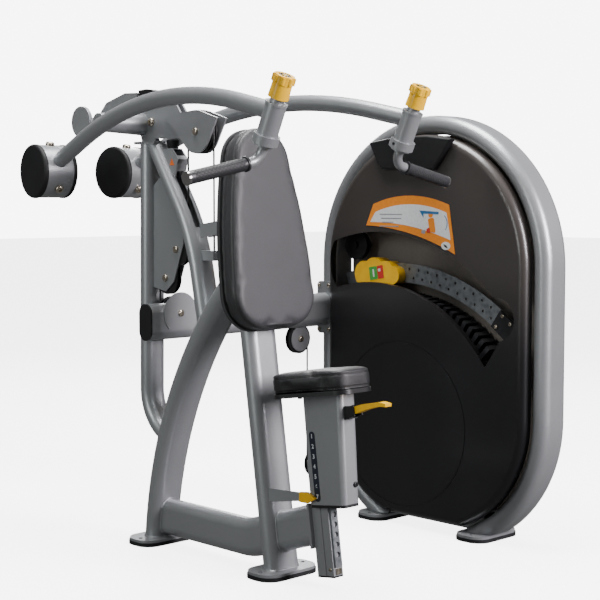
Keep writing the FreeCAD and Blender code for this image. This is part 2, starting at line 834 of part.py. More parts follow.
def grip(side):
    """Rubber grip with its inner ring and end cap, as three solids."""
    end = V(*grip_path(side)[2])
    way = grip_way(side)
    start = end - way * GRIP_LENGTH
    bore = rod(GRIP_TUBE_R, start - way * 20, end)
    rubber = rod(GRIP_R, start, end).cut(bore)
    ring = rod(GRIP_R + 3, start - way * 6, start).cut(bore)
    cap = rod(GRIP_R + 1, end, end + way * GRIP_CAP_T)
    return group([rubber, ring, cap])


def knob(side):
    """A lobed pull knob over the shaft's top."""
    start = along_handle(side, SLEEVE_LENGTH + SHAFT_RISE)
    skirt = Part.makeCone(KNOB_R - 2.5, KNOB_R - 4, KNOB_HEIGHT * 0.62)
    head = Part.makeCylinder(KNOB_R - 3, KNOB_HEIGHT * 0.38, V(0, 0, KNOB_HEIGHT * 0.62))
    pieces = [skirt, head]
    for i in range(KNOB_LOBES):
        angle = 360.0 * i / KNOB_LOBES
        spot = V(cosine(angle), sine(angle), 0) * (KNOB_R - 5)
        pieces.append(Part.makeCylinder(6, KNOB_HEIGHT * 0.3, spot + Z_DIR * (KNOB_HEIGHT * 0.66)))
    body = joined(pieces)
    body = body.cut(Part.makeCylinder(17, 2, V(0, 0, KNOB_HEIGHT - 2)))
    return placed(body, start, handle_axis(), X_DIR)


# ---------------------------------------------------------------- pulleys and cable

def guide_centres():
    """Centres of the two guide wheels behind the mast, the cable under one and over the other."""
    front_y = YOKE_Y + YOKE_PITCH_R + PITCH_R
    level = GUIDE_Z - PITCH_R
    return V(0, front_y, GUIDE_Z), V(0, CABLE_Y - PITCH_R, level - PITCH_R)


def cross_centre():
    return V(PITCH_R, CABLE_Y, CROSS_WHEEL_Z)


def hanger_centre():
    return V(DROP_X - PITCH_R, CABLE_Y, HANGER_Z)


def base_centre():
    return V(DROP_X + PITCH_R, CABLE_Y, BASE_WHEEL_Z)


def cross_pulley():
    return wheel(cross_centre(), Y_DIR, PITCH_R)


def hanger_pulley():
    return wheel(hanger_centre(), Y_DIR, PITCH_R)


def base_pulley():
    return wheel(base_centre(), Y_DIR, PITCH_R)


def yoke_pulley():
    return wheel(V(0, YOKE_Y, YOKE_Z), X_DIR, YOKE_PITCH_R)


def guide_pulley(index):
    return wheel(guide_centres()[index], X_DIR, PITCH_R)


def guide_plates():
    """Side plates from the upright forward to the guide wheels."""
    first, second = guide_centres()
    inner = WHEEL_T / 2 + SIDE_GAP
    corners = [(first.y - 36, first.z + 20), (first.y - 20, first.z + 128), (540, 1148),
               (576, 1120), (577, second.z - 30), (second.y, second.z - 42),
               (second.y - 40, second.z - 10)]
    pieces = []
    for low in (-inner - GUARD_T, inner):
        plate = slab(corners, low, low + GUARD_T)
        for centre in (first, second):
            plate = plate.cut(rod(BOLT_R, centre - X_DIR * 90, centre + X_DIR * 90))
        pieces.append(largest(plate.cut(upright_body()).cut(mast_body())))
    return group(pieces)


def cross_guard():
    """Half-disc guard on the cross tube's front over the cross pulley."""
    centre = cross_centre()
    front = CROSS_Y - BIG_SHORT / 2
    body = Part.makeCylinder(CROSS_GUARD_R, GUARD_T, V(centre.x, front - GUARD_T, centre.z), Y_DIR)
    body = body.cut(box((-REACH, 0, 0), (REACH, 2 * REACH, CROSS_Z - 22)))
    return body.cut(rod(BOLT_R, V(centre.x, front - REACH, centre.z), V(centre.x, front, centre.z)))


def hanger_plates():
    """Round side plates that hang the hanger pulley under the cross tube."""
    centre = hanger_centre()
    pieces = []
    for y in (centre.y - WHEEL_T / 2 - SIDE_GAP - GUARD_T, centre.y + WHEEL_T / 2 + SIDE_GAP):
        plate = Part.makeCylinder(43, GUARD_T, V(centre.x, y, centre.z), Y_DIR)
        strap = box((centre.x - 24, y, centre.z), (centre.x + 24, y + GUARD_T, CROSS_Z - 40))
        plate = joined([plate, strap]).cut(cross_tube_body())
        pieces.append(largest(plate.cut(rod(BOLT_R, centre - Y_DIR * 90, centre + Y_DIR * 90))))
    return group(pieces)


def base_bracket():
    """Side plates that carry the base pulley behind the tower's rear leg."""
    centre = base_centre()
    pieces = []
    for y in (centre.y - WHEEL_T / 2 - SIDE_GAP - GUARD_T, centre.y + WHEEL_T / 2 + SIDE_GAP):
        corners = box((centre.x - 30, y, centre.z - 30), (CABLE_END_X + 40, y + GUARD_T, centre.z + 30))
        pieces.append(corners)
    low_y = centre.y - WHEEL_T / 2 - SIDE_GAP - GUARD_T
    high_y = centre.y + WHEEL_T / 2 + SIDE_GAP + GUARD_T
    pieces.append(box((CABLE_END_X + 8, low_y, centre.z - 60), (CABLE_END_X + 48, high_y, centre.z + 45)))
    pieces.append(box((CABLE_END_X + 8, 430, centre.z - 10), (CABLE_END_X + 40, low_y + 2, centre.z + 45)))
    body = joined(pieces).cut(tower_body())
    axle = rod(BOLT_R, centre - Y_DIR * 90, centre + Y_DIR * 90)
    return largest(largest(body).cut(axle))


def frame_bolts():
    """The pulleys' bolts on the frame and the flange's and backrest's screws."""
    reach = WHEEL_T / 2 + SIDE_GAP + GUARD_T
    pieces = [bolt(c - X_DIR * reach, c + X_DIR * reach) for c in guide_centres()]
    front = CROSS_Y - BIG_SHORT / 2 - GUARD_T
    centre = cross_centre()
    pieces.append(bolt(V(centre.x, front, centre.z), V(centre.x, CROSS_Y + BIG_SHORT / 2, centre.z)))
    for centre in (hanger_centre(), base_centre()):
        pieces.append(bolt(centre - Y_DIR * reach, centre + Y_DIR * reach))
    flange_x = TOWER_X - BIG_LONG / 2 - FLANGE_T
    for dy in (-FLANGE_SCREWS[0], FLANGE_SCREWS[0]):
        for dz in (-FLANGE_SCREWS[1], FLANGE_SCREWS[1]):
            at = V(flange_x, CROSS_Y + dy, CROSS_Z + FLANGE_SHIFT + dz)
            pieces.append(screw_head(at, X_DIR * -1, 7, 5))
    return group(pieces)


def yoke_cable():
    """The cable's two upper strands over the yoke pulley."""
    low_rear = guide_centres()[0].z
    rear_y = YOKE_Y + YOKE_PITCH_R
    front_y = YOKE_Y - YOKE_PITCH_R
    top = YOKE_Z + YOKE_PITCH_R
    points = [(0, front_y, GUIDE_Z), (0, front_y, top), (0, rear_y, top), (0, rear_y, low_rear)]
    return bent(points, [YOKE_PITCH_R] * 2, disc(CABLE_R), X_DIR)


def base_cable():
    """The cable from the guide wheels through the cross tube and down to the tower's foot."""
    first, second = guide_centres()
    cross = cross_centre()
    hang = hanger_centre()
    base = base_centre()
    level = first.z - PITCH_R
    drop = cross.z - hang.z
    span = hang.x - cross.x
    between = math.hypot(drop, span)
    slope = math.degrees(math.atan2(drop, span) - math.asin(2 * PITCH_R / between))
    setback = PITCH_R * tangent((90 - slope) / 2)
    corner_low = cross.z - setback
    corner_high = hang.z + setback
    points = [
        (0, first.y - PITCH_R, first.z),
        (0, first.y - PITCH_R, level),
        (0, CABLE_Y, level),
        (0, CABLE_Y, corner_low),
        (DROP_X, CABLE_Y, corner_high),
        (DROP_X, CABLE_Y, base.z - PITCH_R),
        (CABLE_END_X, CABLE_Y, base.z - PITCH_R),
    ]
    return bent(points, [PITCH_R] * 5, disc(CABLE_R), V(1, 0.01, 0.02))


def cable_anchor():
    """A small clevis on the mast's front that holds the cable's end."""
    y = YOKE_Y - YOKE_PITCH_R
    block = box((-12, y - 10, GUIDE_Z - 30), (12, y + 60, GUIDE_Z))
    return largest(block.cut(mast_body()))


# ---------------------------------------------------------------- backrest

def back_outline(inset, low_y, high_y):
    """The backrest's rounded plan as a plate in the leg's leaning frame."""
    half = BACK_HALF - inset
    side_r = BACK_SIDE_R - inset
    corner = BACK_CORNER_R - inset
    bottom = BACK_BOTTOM + inset
    top = BACK_BOTTOM + BACK_LENGTH - inset
    side_x = half - side_r
    side_z = bottom + corner
    rise = top - side_z
    top_r = (side_r ** 2 - side_x ** 2 - rise ** 2) / (2 * (side_r - rise))
    centre = V(0, 0, top - top_r)
    way = unit(centre - V(side_x, 0, side_z))
    touch = centre + way * top_r
    halfway = unit(V(half - side_x, 0, 0) + (touch - V(side_x, 0, side_z)))
    side_mid = V(side_x, 0, side_z) + halfway * side_r
    corner_mid = V(half - corner, 0, side_z) + V(sine(45), 0, -sine(45)) * corner

    def mirror(point):
        return V(-point.x, point.y, point.z)

    low = V(half - corner, 0, bottom)
    wide = V(half, 0, side_z)
    edges = [
        Part.makeLine(mirror(low), low),
        Part.Arc(low, corner_mid, wide).toShape(),
        Part.Arc(wide, side_mid, touch).toShape(),
        Part.Arc(touch, V(0, 0, top), mirror(touch)).toShape(),
        Part.Arc(mirror(touch), mirror(side_mid), mirror(wide)).toShape(),
        Part.Arc(mirror(wide), mirror(corner_mid), mirror(low)).toShape(),
    ]
    face = Part.Face(Part.Wire(edges))
    face.translate(Y_DIR * low_y)
    return face.extrude(Y_DIR * (high_y - low_y))


def on_front_leg(shape):
    return leaned(shape, V(*leg_point(FOOT_TOP)), FRONT_LEAN)


def backrest_board():
    return on_front_leg(back_outline(BOARD_INSET, -BOARD_OFFSET - BOARD_T, -BOARD_OFFSET))


def backrest_pad():
    back = -BOARD_OFFSET - BOARD_T
    body = back_outline(0.0, back - BACK_PAD_T, back)
    front = [edge for edge in body.Edges if edge.BoundBox.YMax < back - BACK_PAD_T + 1]
    return on_front_leg(body.makeFillet(16, front))


def backrest_brackets():
    """Cross brackets that hold the board on the front leg and on the mast."""
    low = box((-85, -BOARD_OFFSET, 735), (85, -BIG_SHORT / 2, 790))
    low = on_front_leg(low).cut(front_leg_body())
    upper = [on_front_leg(box((-70, -BOARD_OFFSET, 960), (70, -BOARD_OFFSET + 8, 1050)))]
    for x_low in (-20, 8):
        arm = on_front_leg(box((x_low, -BOARD_OFFSET, 985), (x_low + 12, 190, 1025)))
        upper.append(largest(arm.cut(mast_body())))
    upper = joined(upper)
    return group([largest(low), upper])


# ---------------------------------------------------------------- seat

def on_seat(shape):
    return leaned(shape, SEAT_FOOT, SEAT_LEAN)


def post_top():
    return SLEEVE_TOP - SEAT_TRAVEL - 12


def seat_post():
    half = (POST_X / 2, POST_Y / 2)
    body = box((-half[0], -half[1], 0), (half[0], half[1], post_top()))
    inner = (half[0] - GROOVE_DEPTH - POST_WALL, half[1] - POST_WALL)
    body = body.cut(box((-inner[0], -inner[1], 0), (inner[0], inner[1], post_top())))
    for side in (-1, 1):
        edge = side * half[0]
        low = min(edge, edge - side * GROOVE_DEPTH)
        groove = box((low, -GROOVE_WIDTH / 2 - 8, 0), (low + GROOVE_DEPTH, GROOVE_WIDTH / 2 - 8, post_top()))
        body = body.cut(groove)
    return on_seat(body)


def latch_strip():
    """The strip of latch holes on the post's front."""
    front = -POST_Y / 2
    half = STRIP_X / 2
    body = box((-half, front - STRIP_T, 24), (half, front, post_top()))
    count = int((post_top() - 60) / LATCH_PITCH)
    for i in range(count):
        z = 58 + i * LATCH_PITCH
        body = body.cut(rod(8, V(0, front - STRIP_T, z), V(0, front, z)))
    return on_seat(body)


def seat_sleeve():
    """The carriage: a rounded channel, open at the back, that slides along the post."""
    half = SLEEVE_X / 2
    side = [(SLEEVE_REAR[0], SLEEVE_BOTTOM), (SLEEVE_REAR[1], SLEEVE_TOP),
            (SLEEVE_FRONT[1], SLEEVE_TOP), (SLEEVE_FRONT[0], SLEEVE_BOTTOM)]
    body = slab(side, -half, half)
    front = [edge for edge in body.Edges
             if edge.Length > 250 and edge.BoundBox.YMax < -100]
    body = body.makeFillet(SLEEVE_ROUND, front)
    wall = SLEEVE_WALL
    room = [(SLEEVE_REAR[0] + 20, SLEEVE_BOTTOM - 5), (SLEEVE_REAR[1] + 20, SLEEVE_TOP - wall),
            (SLEEVE_FRONT[1] + wall, SLEEVE_TOP - wall), (SLEEVE_FRONT[0] + wall, SLEEVE_BOTTOM - 5)]
    inside = slab(room, wall - half, half - wall)
    front = [edge for edge in inside.Edges
             if edge.Length > 250 and edge.BoundBox.YMax < -90]
    return on_seat(largest(body.cut(inside.makeFillet(SLEEVE_ROUND - wall, front))))


def seat_glides():
    """Plastic glides in the sleeve that run along the post's sides and in its grooves."""
    inner = POST_X / 2 + SLIDE_GAP
    outer = SLEEVE_X / 2 - SLEEVE_WALL
    tongue = inner - SLIDE_GAP - GROOVE_DEPTH + SLIDE_GAP
    half = GROOVE_WIDTH / 2 - SLIDE_GAP
    pieces = []
    for side in (-1, 1):
        for z in (SLEEVE_BOTTOM + 6, SLEEVE_BOTTOM + 70):
            plate = box((inner, -30, z), (outer, 10, z + 40))
            rib = box((tongue, -half - 8, z), (inner + 1, half - 8, z + 40))
            pad = joined([plate, rib])
            if side < 0:
                pad = pad.mirror(ORIGIN, X_DIR)
            pieces.append(on_seat(pad))
    return group(pieces)


def sleeve_rim():
    """Black rubber rim under the sleeve's foot."""
    half = SLEEVE_X / 2
    front = SLEEVE_FRONT[0]
    body = box((-half, front, SLEEVE_BOTTOM - 8), (half, SLEEVE_REAR[0], SLEEVE_BOTTOM))
    corner = [edge for edge in body.Edges
              if abs(edge.tangentAt(edge.FirstParameter).z) > 0.9 and edge.BoundBox.YMax < front + 1]
    body = body.makeFillet(SLEEVE_ROUND, corner)
    room_x = POST_X / 2 + SIDE_GAP
    room = box((-room_x, -POST_Y / 2 - STRIP_T - 2, 0), (room_x, SLEEVE_REAR[0] + 5, REACH))
    return on_seat(body.cut(room))


def seat_outline(grow, low, high):
    """The seat's tapered plan with rounded corners as a plate in the post's leaning frame."""
    rear = SEAT_REAR + grow
    front = SEAT_REAR - SEAT_LENGTH - grow
    wide = SEAT_REAR_HALF + grow
    narrow = SEAT_FRONT_HALF + grow
    corners = [V(-wide, rear, low), V(wide, rear, low), V(narrow, front, low), V(-narrow, front, low)]
    body = Part.Face(Part.makePolygon(corners + corners[:1])).extrude(Z_DIR * (high - low))
    upright = [edge for edge in body.Edges if abs(edge.tangentAt(edge.FirstParameter).z) > 0.9]
    return body.makeFillet(SEAT_CORNER_R + grow, upright)


def seat_pan():
    return on_seat(seat_outline(-3.0, SLEEVE_TOP, SLEEVE_TOP + PAN_T))


def seat_pad():
    bottom = SLEEVE_TOP + PAN_T
    body = seat_outline(0.0, bottom, bottom + SEAT_PAD_T)
    top = [edge for edge in body.Edges if edge.BoundBox.ZMin > bottom + SEAT_PAD_T - 1]
    return on_seat(body.makeFillet(14, top))


def sleeve_front(z):
    """Local Y of the sleeve's front face at a local height."""
    share = (z - SLEEVE_BOTTOM) / (SLEEVE_TOP - SLEEVE_BOTTOM)
    return SLEEVE_FRONT[0] + share * (SLEEVE_FRONT[1] - SLEEVE_FRONT[0])


def lever_bracket():
    """Two dark ears on the sleeve's front with the pin of the seat lever."""
    low = LEVER_BRACKET_Z - 12
    high = LEVER_BRACKET_Z + 24
    start = sleeve_front(low)
    top = sleeve_front(high)
    pieces = []
    for x in (-17, 13):
        pieces.append(slab([(start, low), (top, high), (LEVER_PIN_Y - 10, high), (LEVER_PIN_Y - 12, low + 8)],
                           x, x + 4))
    pin = rod(LEVER_PIN_R, V(-17, LEVER_PIN_Y, LEVER_PIN_Z), V(17, LEVER_PIN_Y, LEVER_PIN_Z))
    floor = slab([(start, low), (sleeve_front(low + 4), low + 4), (-148, low + 4), (-148, low)], -17, 17)
    return on_seat(joined(pieces + [pin, floor]))


def seat_lever():
    """The paddle under the seat's front that frees the latch."""
    side = [(-146, 450), (-146, 464), (-196, 472), (-262, 476), (-284, 470), (-282, 462),
            (-262, 464), (-214, 458), (-172, 448)]
    body = slab(side, -12.5, 12.5)
    bore = rod(LEVER_PIN_R + RUN_FIT, V(-20, LEVER_PIN_Y, LEVER_PIN_Z), V(20, LEVER_PIN_Y, LEVER_PIN_Z))
    return on_seat(largest(body.cut(bore)))


def seat_bolts():
    """Screws on the sleeve's front, under the pan and on the post's foot."""
    pieces = []
    z = SLEEVE_BOTTOM + 52
    slope = V(0, -(SLEEVE_TOP - SLEEVE_BOTTOM), SLEEVE_FRONT[1] - SLEEVE_FRONT[0])
    pieces.append(on_seat(screw_head(V(14, sleeve_front(z), z), slope, 8, 5)))
    for x in (-70, 70):
        pieces.append(on_seat(screw_head(V(x, -20, SLEEVE_TOP), Z_DIR * -1, 7, 5)))
    return group(pieces)


def post_bolts():
    side = on_seat(screw_head(V(-POST_X / 2, -20, 18), X_DIR * -1, 5, 4))
    front = on_seat(box((-9, -POST_Y / 2 - 5, 4), (9, -POST_Y / 2, 20)))
    return group([side, front])


def pointer_bracket():
    """A flat arm from the front leg forward along the sleeve's side."""
    foot_y = leg_point(240)[1] - BIG_SHORT / 2 / cosine(FRONT_LEAN)
    corners = [(foot_y + 4, 216), (foot_y + 4, 256), (-118, 262), (-118, 238)]
    body = slab(corners, POINTER_X - 3, POINTER_X + 3)
    return largest(body.cut(front_leg_body()))


def pointer_tip():
    return slab([(-118, 236), (-118, 264), (-150, 268), (-182, 253), (-150, 236)],
                POINTER_X - 4, POINTER_X + 4)


# ---------------------------------------------------------------- tower

def tower_points(half, top_half):
    """Corner points and the two ends of the arch's axis, from the front foot to the rear."""
    shift = TOWER_LOW_CORNER * tangent(TOWER_LOW_TURN)
    top = TOWER_TOP_CENTRE + top_half
    left = TOWER_Y - half
    right = TOWER_Y + half
    low = TOWER_LOW_CORNER
    return [(TOWER_X, left + shift, 0), (TOWER_X, left, low), (TOWER_X, left, top),
            (TOWER_X, right, top), (TOWER_X, right, low), (TOWER_X, right - shift, 0)]


def tower_body(shrink=0.0):
    radii = [TOWER_LOW_R, TOWER_HALF, TOWER_HALF, TOWER_LOW_R]
    face = oval(BIG_LONG - shrink, BIG_SHORT - shrink)
    body = bent(tower_points(TOWER_HALF, TOWER_HALF), radii, face, X_DIR)
    floor = box((0, -2 * REACH, -REACH), (3 * REACH, 2 * REACH, FOOT_TOP))
    return largest(body.cut(floor))


def tower_arch():
    return tower_body().cut(tower_body(2 * BIG_WALL))


def tower_floor_bar():
    width, height, bottom = BASE_BAR
    low = (TOWER_X - width / 2, TOWER_FEET_Y[0] - 20, bottom)
    high = (TOWER_X + width / 2, TOWER_FEET_Y[1] + 20, bottom + height)
    bar = box(low, high)
    inner = box((low[0] + 3, low[1], bottom + 3), (high[0] - 3, high[1], bottom + height - 3))
    return largest(bar.cut(inner).cut(tower_body()))


def shroud_outline(inset, x_low, x_high):
    """A plate that fills the arch, its edge inset from the arch's inner face."""
    gap = BIG_SHORT / 2 + SHROUD_GAP + inset
    half = TOWER_HALF - gap
    low_r = TOWER_LOW_R - gap
    floor = SHROUD_FLOOR + inset
    left = TOWER_Y - half
    right = TOWER_Y + half
    low_centre = TOWER_LOW_CORNER + TOWER_LOW_R * tangent(TOWER_LOW_TURN / 2)
    turn = math.degrees(math.asin((low_centre - floor) / low_r))
    mid = turn / 2
    left_c = left + low_r
    right_c = right - low_r
    edges = [
        line((left_c - low_r * cosine(turn), floor), (right_c + low_r * cosine(turn), floor)),
        arc((right_c + low_r * cosine(turn), floor),
            (right_c + low_r * cosine(mid), low_centre - low_r * sine(mid)), (right, low_centre)),
        line((right, low_centre), (right, TOWER_TOP_CENTRE)),
        arc((right, TOWER_TOP_CENTRE), (TOWER_Y, TOWER_TOP_CENTRE + half), (left, TOWER_TOP_CENTRE)),
        line((left, TOWER_TOP_CENTRE), (left, low_centre)),
        arc((left, low_centre),
            (left_c - low_r * cosine(mid), low_centre - low_r * sine(mid)),
            (left_c - low_r * cosine(turn), floor)),
    ]
    return outline(edges, x_low, x_high)


def at_height(circle, y):
    """Z of the upper half of a (Y, Z, R) circle at y."""
    return circle[1] + math.sqrt(circle[2] ** 2 - (y - circle[0]) ** 2)


def window_block(x_low, x_high, grow=0.0):
    """The curved window between the rim circle and the upper circle."""
    front, rear = WINDOW_ENDS
    front_low = -184.0
    rear_low = 462.0
    top_r = (WINDOW_TOP[0], WINDOW_TOP[1], WINDOW_TOP[2] + grow)
    rim = (RIM[0], RIM[1], RIM[2] - grow)
    rear_top = (rear - 12, at_height(top_r, rear - 12) - 8)
    front_top = (-217.0, at_height(top_r, -217.0))
    edges = [
        arc(rear_top, (130, at_height(top_r, 130)), front_top),
        arc(front_top, (front - 34, 712), (front + 20, 645)),
        line((front + 20, 645), (front_low, at_height(rim, front_low))),
        arc((front_low, at_height(rim, front_low)), (150, at_height(rim, 150)),
            (rear_low, at_height(rim, rear_low))),
        arc((rear_low, at_height(rim, rear_low)), (rear + 13, 862), rear_top),
    ]
    return outline(edges, x_low, x_high)


def front_shroud():
    """The domed moulding that fills the arch, with its window and its round groove."""
    body = shroud_outline(0.0, SHROUD_FRONT, SHROUD_BACK)
    rim = [edge for edge in body.Edges if edge.BoundBox.XMax < SHROUD_FRONT + 1]
    body = body.makeFillet(SHROUD_ROUND, rim)
    room = shroud_outline(SHROUD_WALL, SHROUD_FRONT + SHROUD_WALL, SHROUD_BACK)
    rim = [edge for edge in room.Edges if edge.BoundBox.XMax < SHROUD_FRONT + SHROUD_WALL + 1]
    body = body.cut(room.makeFillet(SHROUD_ROUND - SHROUD_WALL, rim))
    body = body.cut(window_block(SHROUD_FRONT - 1, SHROUD_BACK))
    y, z, radius = RELIEF
    start = V(SHROUD_FRONT, y, z)
    ring = rod(radius, start, start + X_DIR * RELIEF_DEPTH)
    ring = ring.cut(rod(radius - RELIEF_WIDTH, start, start + X_DIR * RELIEF_DEPTH))
    return joined([largest(body.cut(ring)), window_lip()])


def window_lip():
    """A curved ledge inside the window's lower edge."""
    edge = (RIM[0], RIM[1], RIM[2] - 0.5)
    front, rear = -150.0, 430.0
    low = (RIM[0], RIM[1], RIM[2] - 0.5 - LIP_T)
    high_points = [(y, at_height(edge, y)) for y in (front, 150, rear)]
    low_points = [(y, at_height(low, y)) for y in (front, 150, rear)]
    edges = [arc(*high_points), line(high_points[2], low_points[2]),
             arc(low_points[2], low_points[1], low_points[0]), line(low_points[0], high_points[0])]
    start = SHROUD_FRONT + SHROUD_WALL
    return outline(edges, start, start + LIP_DEPTH)


def back_panel():
    return shroud_outline(0.0, BACK_PANEL_X, BACK_PANEL_X + BACK_PANEL_T)


def placard():
    """The instruction plate's curved blank."""
    front = SHROUD_FRONT
    edges = [
        arc((292, 1066), (128, 1094), (-36, 1064)),
        line((-36, 1064), (-62, 908)),
        arc((-62, 908), (132, 972), (324, 995)),
        line((324, 995), (292, 1066)),
    ]
    return outline(edges, front - 1.5, front)


def badge_pod():
    """The raised blank pod at the shroud's top."""
    pod = slab([(296, 1270), (262, 1206), (236, 1180), (16, 1176), (-20, 1220), (-58, 1272),
                (40, 1284), (180, 1284)], SHROUD_FRONT - 22, SHROUD_FRONT)
    front = [edge for edge in pod.Edges if edge.BoundBox.XMax < SHROUD_FRONT - 21]
    return pod.makeFillet(7, front)


def end_screws():
    """Three screw heads on the selector arc's end bracket."""
    spots = [(ARC_INNER_R + 12, 36.5), (ARC_OUTER_R - 8, 36.5), (ARC_OUTER_R - 8, 39.5)]
    pieces = []
    for radius, angle in spots:
        y, z = on_circle((ARC_CENTRE.y, ARC_CENTRE.z, radius), angle)
        pieces.append(screw_head(V(ARC_X - 8, y, z), X_DIR * -1, 7, 5))
    return pieces


def selector_arc():
    """The perforated steel band that the selector runs along."""
    body = band(ARC_CENTRE, ARC_INNER_R, ARC_OUTER_R, ARC_FRONT, ARC_REAR, ARC_X, ARC_X + ARC_T)
    middle = (ARC_INNER_R + ARC_OUTER_R) / 2
    for row, radius in enumerate((middle - 14, middle + 14)):
        for i in range(13):
            angle = 33.5 - 3.2 * i - 1.6 * row
            y, z = on_circle((ARC_CENTRE.y, ARC_CENTRE.z, radius), angle)
            body = body.cut(rod(ARC_HOLE_R, V(ARC_X, y, z), V(ARC_X + ARC_T, y, z)))
    return body


def arc_brackets():
    """The black end bracket and the posts that hold the selector arc on the back panel."""
    end = band(ARC_CENTRE, ARC_INNER_R, ARC_OUTER_R, ARC_FRONT, -35.0, ARC_X - 8, ARC_X)
    pieces = [end]
    middle = (ARC_INNER_R + ARC_OUTER_R) / 2
    for angle in (38.5, 1.5 - ARC_REAR):
        y, z = on_circle((ARC_CENTRE.y, ARC_CENTRE.z, middle), angle)
        pieces.append(rod(7, V(ARC_X + ARC_T, y, z), V(BACK_PANEL_X, y, z)))
    return group(pieces)


def selector():
    """The selector's body, a lobed block that clips over the arc."""
    y, z = on_circle((ARC_CENTRE.y, ARC_CENTRE.z, (ARC_INNER_R + ARC_OUTER_R) / 2), -SELECTOR_ANGLE + 3)
    centre = V(0, y, z)
    lobes = [(62, -4, 44), (18, 6, 46), (-32, 2, 40), (-66, -4, 30)]
    pieces = []
    for along, up, radius in lobes:
        spot = centre + V(0, along, up)
        pieces.append(rod(radius, spot + X_DIR * (ARC_X - 34), spot + X_DIR * (ARC_X + 16)))
    body = joined(pieces)
    gap = SLIDE_GAP
    slot = band(ARC_CENTRE, ARC_INNER_R - gap, ARC_OUTER_R + gap, ARC_FRONT, ARC_REAR + 10,
                ARC_X - gap, ARC_X + ARC_T + gap)
    return largest(body.cut(slot))


def weight_lever():
    """The swinging frame that carries the weight plates: a hub, three spokes and a rim."""
    low = LEVER_X - LEVER_T / 2
    high = LEVER_X + LEVER_T / 2
    rim = band(LEVER_CENTRE, LEVER_R - 40, LEVER_R, LEVER_FRONT, 2.0, low, high)
    hub = rod(45, V(low, LEVER_CENTRE.y, LEVER_CENTRE.z), V(high, LEVER_CENTRE.y, LEVER_CENTRE.z))
    pieces = [rim, hub]
    for angle in (0.0, LEVER_FRONT / 2, LEVER_FRONT - 2):
        end = on_circle((LEVER_CENTRE.y, LEVER_CENTRE.z, LEVER_R - 20), angle)
        way = V(0, end[0] - LEVER_CENTRE.y, end[1] - LEVER_CENTRE.z)
        spoke = box((low, -14, 0), (high, 14, way.Length))
        tilt = FreeCAD.Rotation(Z_DIR, way)
        spoke.Placement = FreeCAD.Placement(V(0, LEVER_CENTRE.y, LEVER_CENTRE.z), tilt)
        pieces.append(spoke)
    body = joined(pieces)
    centre = (LEVER_CENTRE.y, LEVER_CENTRE.z)
    bore = rod(AXLE_R + RUN_FIT, V(low, *centre), V(high, *centre))
    return largest(body.cut(bore))


def lever_axle():
    """The weight lever's axle between the back panel's post and its front washer."""
    at = LEVER_CENTRE
    shaft = rod(AXLE_R, V(LEVER_X - LEVER_T / 2 - 10, at.y, at.z), V(BACK_PANEL_X, at.y, at.z))
    washer = rod(26, V(LEVER_X + LEVER_T / 2 + SIDE_GAP, at.y, at.z), V(BACK_PANEL_X, at.y, at.z))
    nut = rod(20, V(LEVER_X - LEVER_T / 2 - 10, at.y, at.z), V(LEVER_X - LEVER_T / 2 - SIDE_GAP, at.y, at.z))
    return joined([shaft, washer, nut])


def weight_plates():
    """Weight plates side by side along the lever's rim."""
    pieces = []
    step = (LEVER_FRONT - 2.0) / (PLATE_COUNT - 1)
    for i in range(PLATE_COUNT):
        angle = i * step
        out = V(0, -sine(angle), cosine(angle))
        at = V(LEVER_X, LEVER_CENTRE.y, LEVER_CENTRE.z) + out * LEVER_R
        plate = box((-WEIGHT_WIDTH / 2, -WEIGHT_T / 2, 0), (WEIGHT_WIDTH / 2, WEIGHT_T / 2, WEIGHT_HEIGHT))
        pieces.append(placed(plate, at, out, X_DIR))
    return group(pieces)


def tower_pulley():
    return wheel(V(LEVER_X - 8, 436, 925), X_DIR, PITCH_R)


def tower_pulley_post():
    at = V(0, 436, 925)
    low = LEVER_X - 8 - WHEEL_T / 2 - 8
    shaft = rod(BOLT_R, at + X_DIR * low, at + X_DIR * BACK_PANEL_X)
    washer = rod(14, at + X_DIR * (LEVER_X - 8 + WHEEL_T / 2 + SIDE_GAP), at + X_DIR * BACK_PANEL_X)
    nut = rod(11, at + X_DIR * low, at + X_DIR * (low + 7))
    return joined([shaft, washer, nut])


def base_tubes():
    """The base tube, the link tube before the front leg and its end plate on the seat post."""
    return group(base_pieces() + [link_plate()])


def arm_tubes():
    return group([arm_tube(side) for side in (-1, 1)] + arm_cross().Solids)


def hub_and_yoke():
    return group([arm_hub()] + yoke_plates().Solids)


def small_brackets():
    """The bumper's bracket, the cable's anchor, the pointer's arm and the backrest's brackets."""
    return group([bumper_bracket(), cable_anchor(), pointer_bracket()] + backrest_brackets().Solids)


def pulley_brackets():
    return group(guide_plates().Solids + [cross_guard()] + hanger_plates().Solids + [base_bracket()])


def frame_fasteners():
    return group([pivot_axle()] + frame_bolts().Solids + post_bolts().Solids + end_screws())


def tower_fittings():
    return group([tower_floor_bar(), tower_flange()])


def tower_posts():
    """The posts, axles and idle wheel on the tower's back panel."""
    return group(arc_brackets().Solids + [lever_axle(), tower_pulley_post(), tower_pulley()])


def sleeve_trim():
    return group(seat_glides().Solids + [sleeve_rim()])


def seat_hardware():
    return group([lever_bracket()] + seat_bolts().Solids)


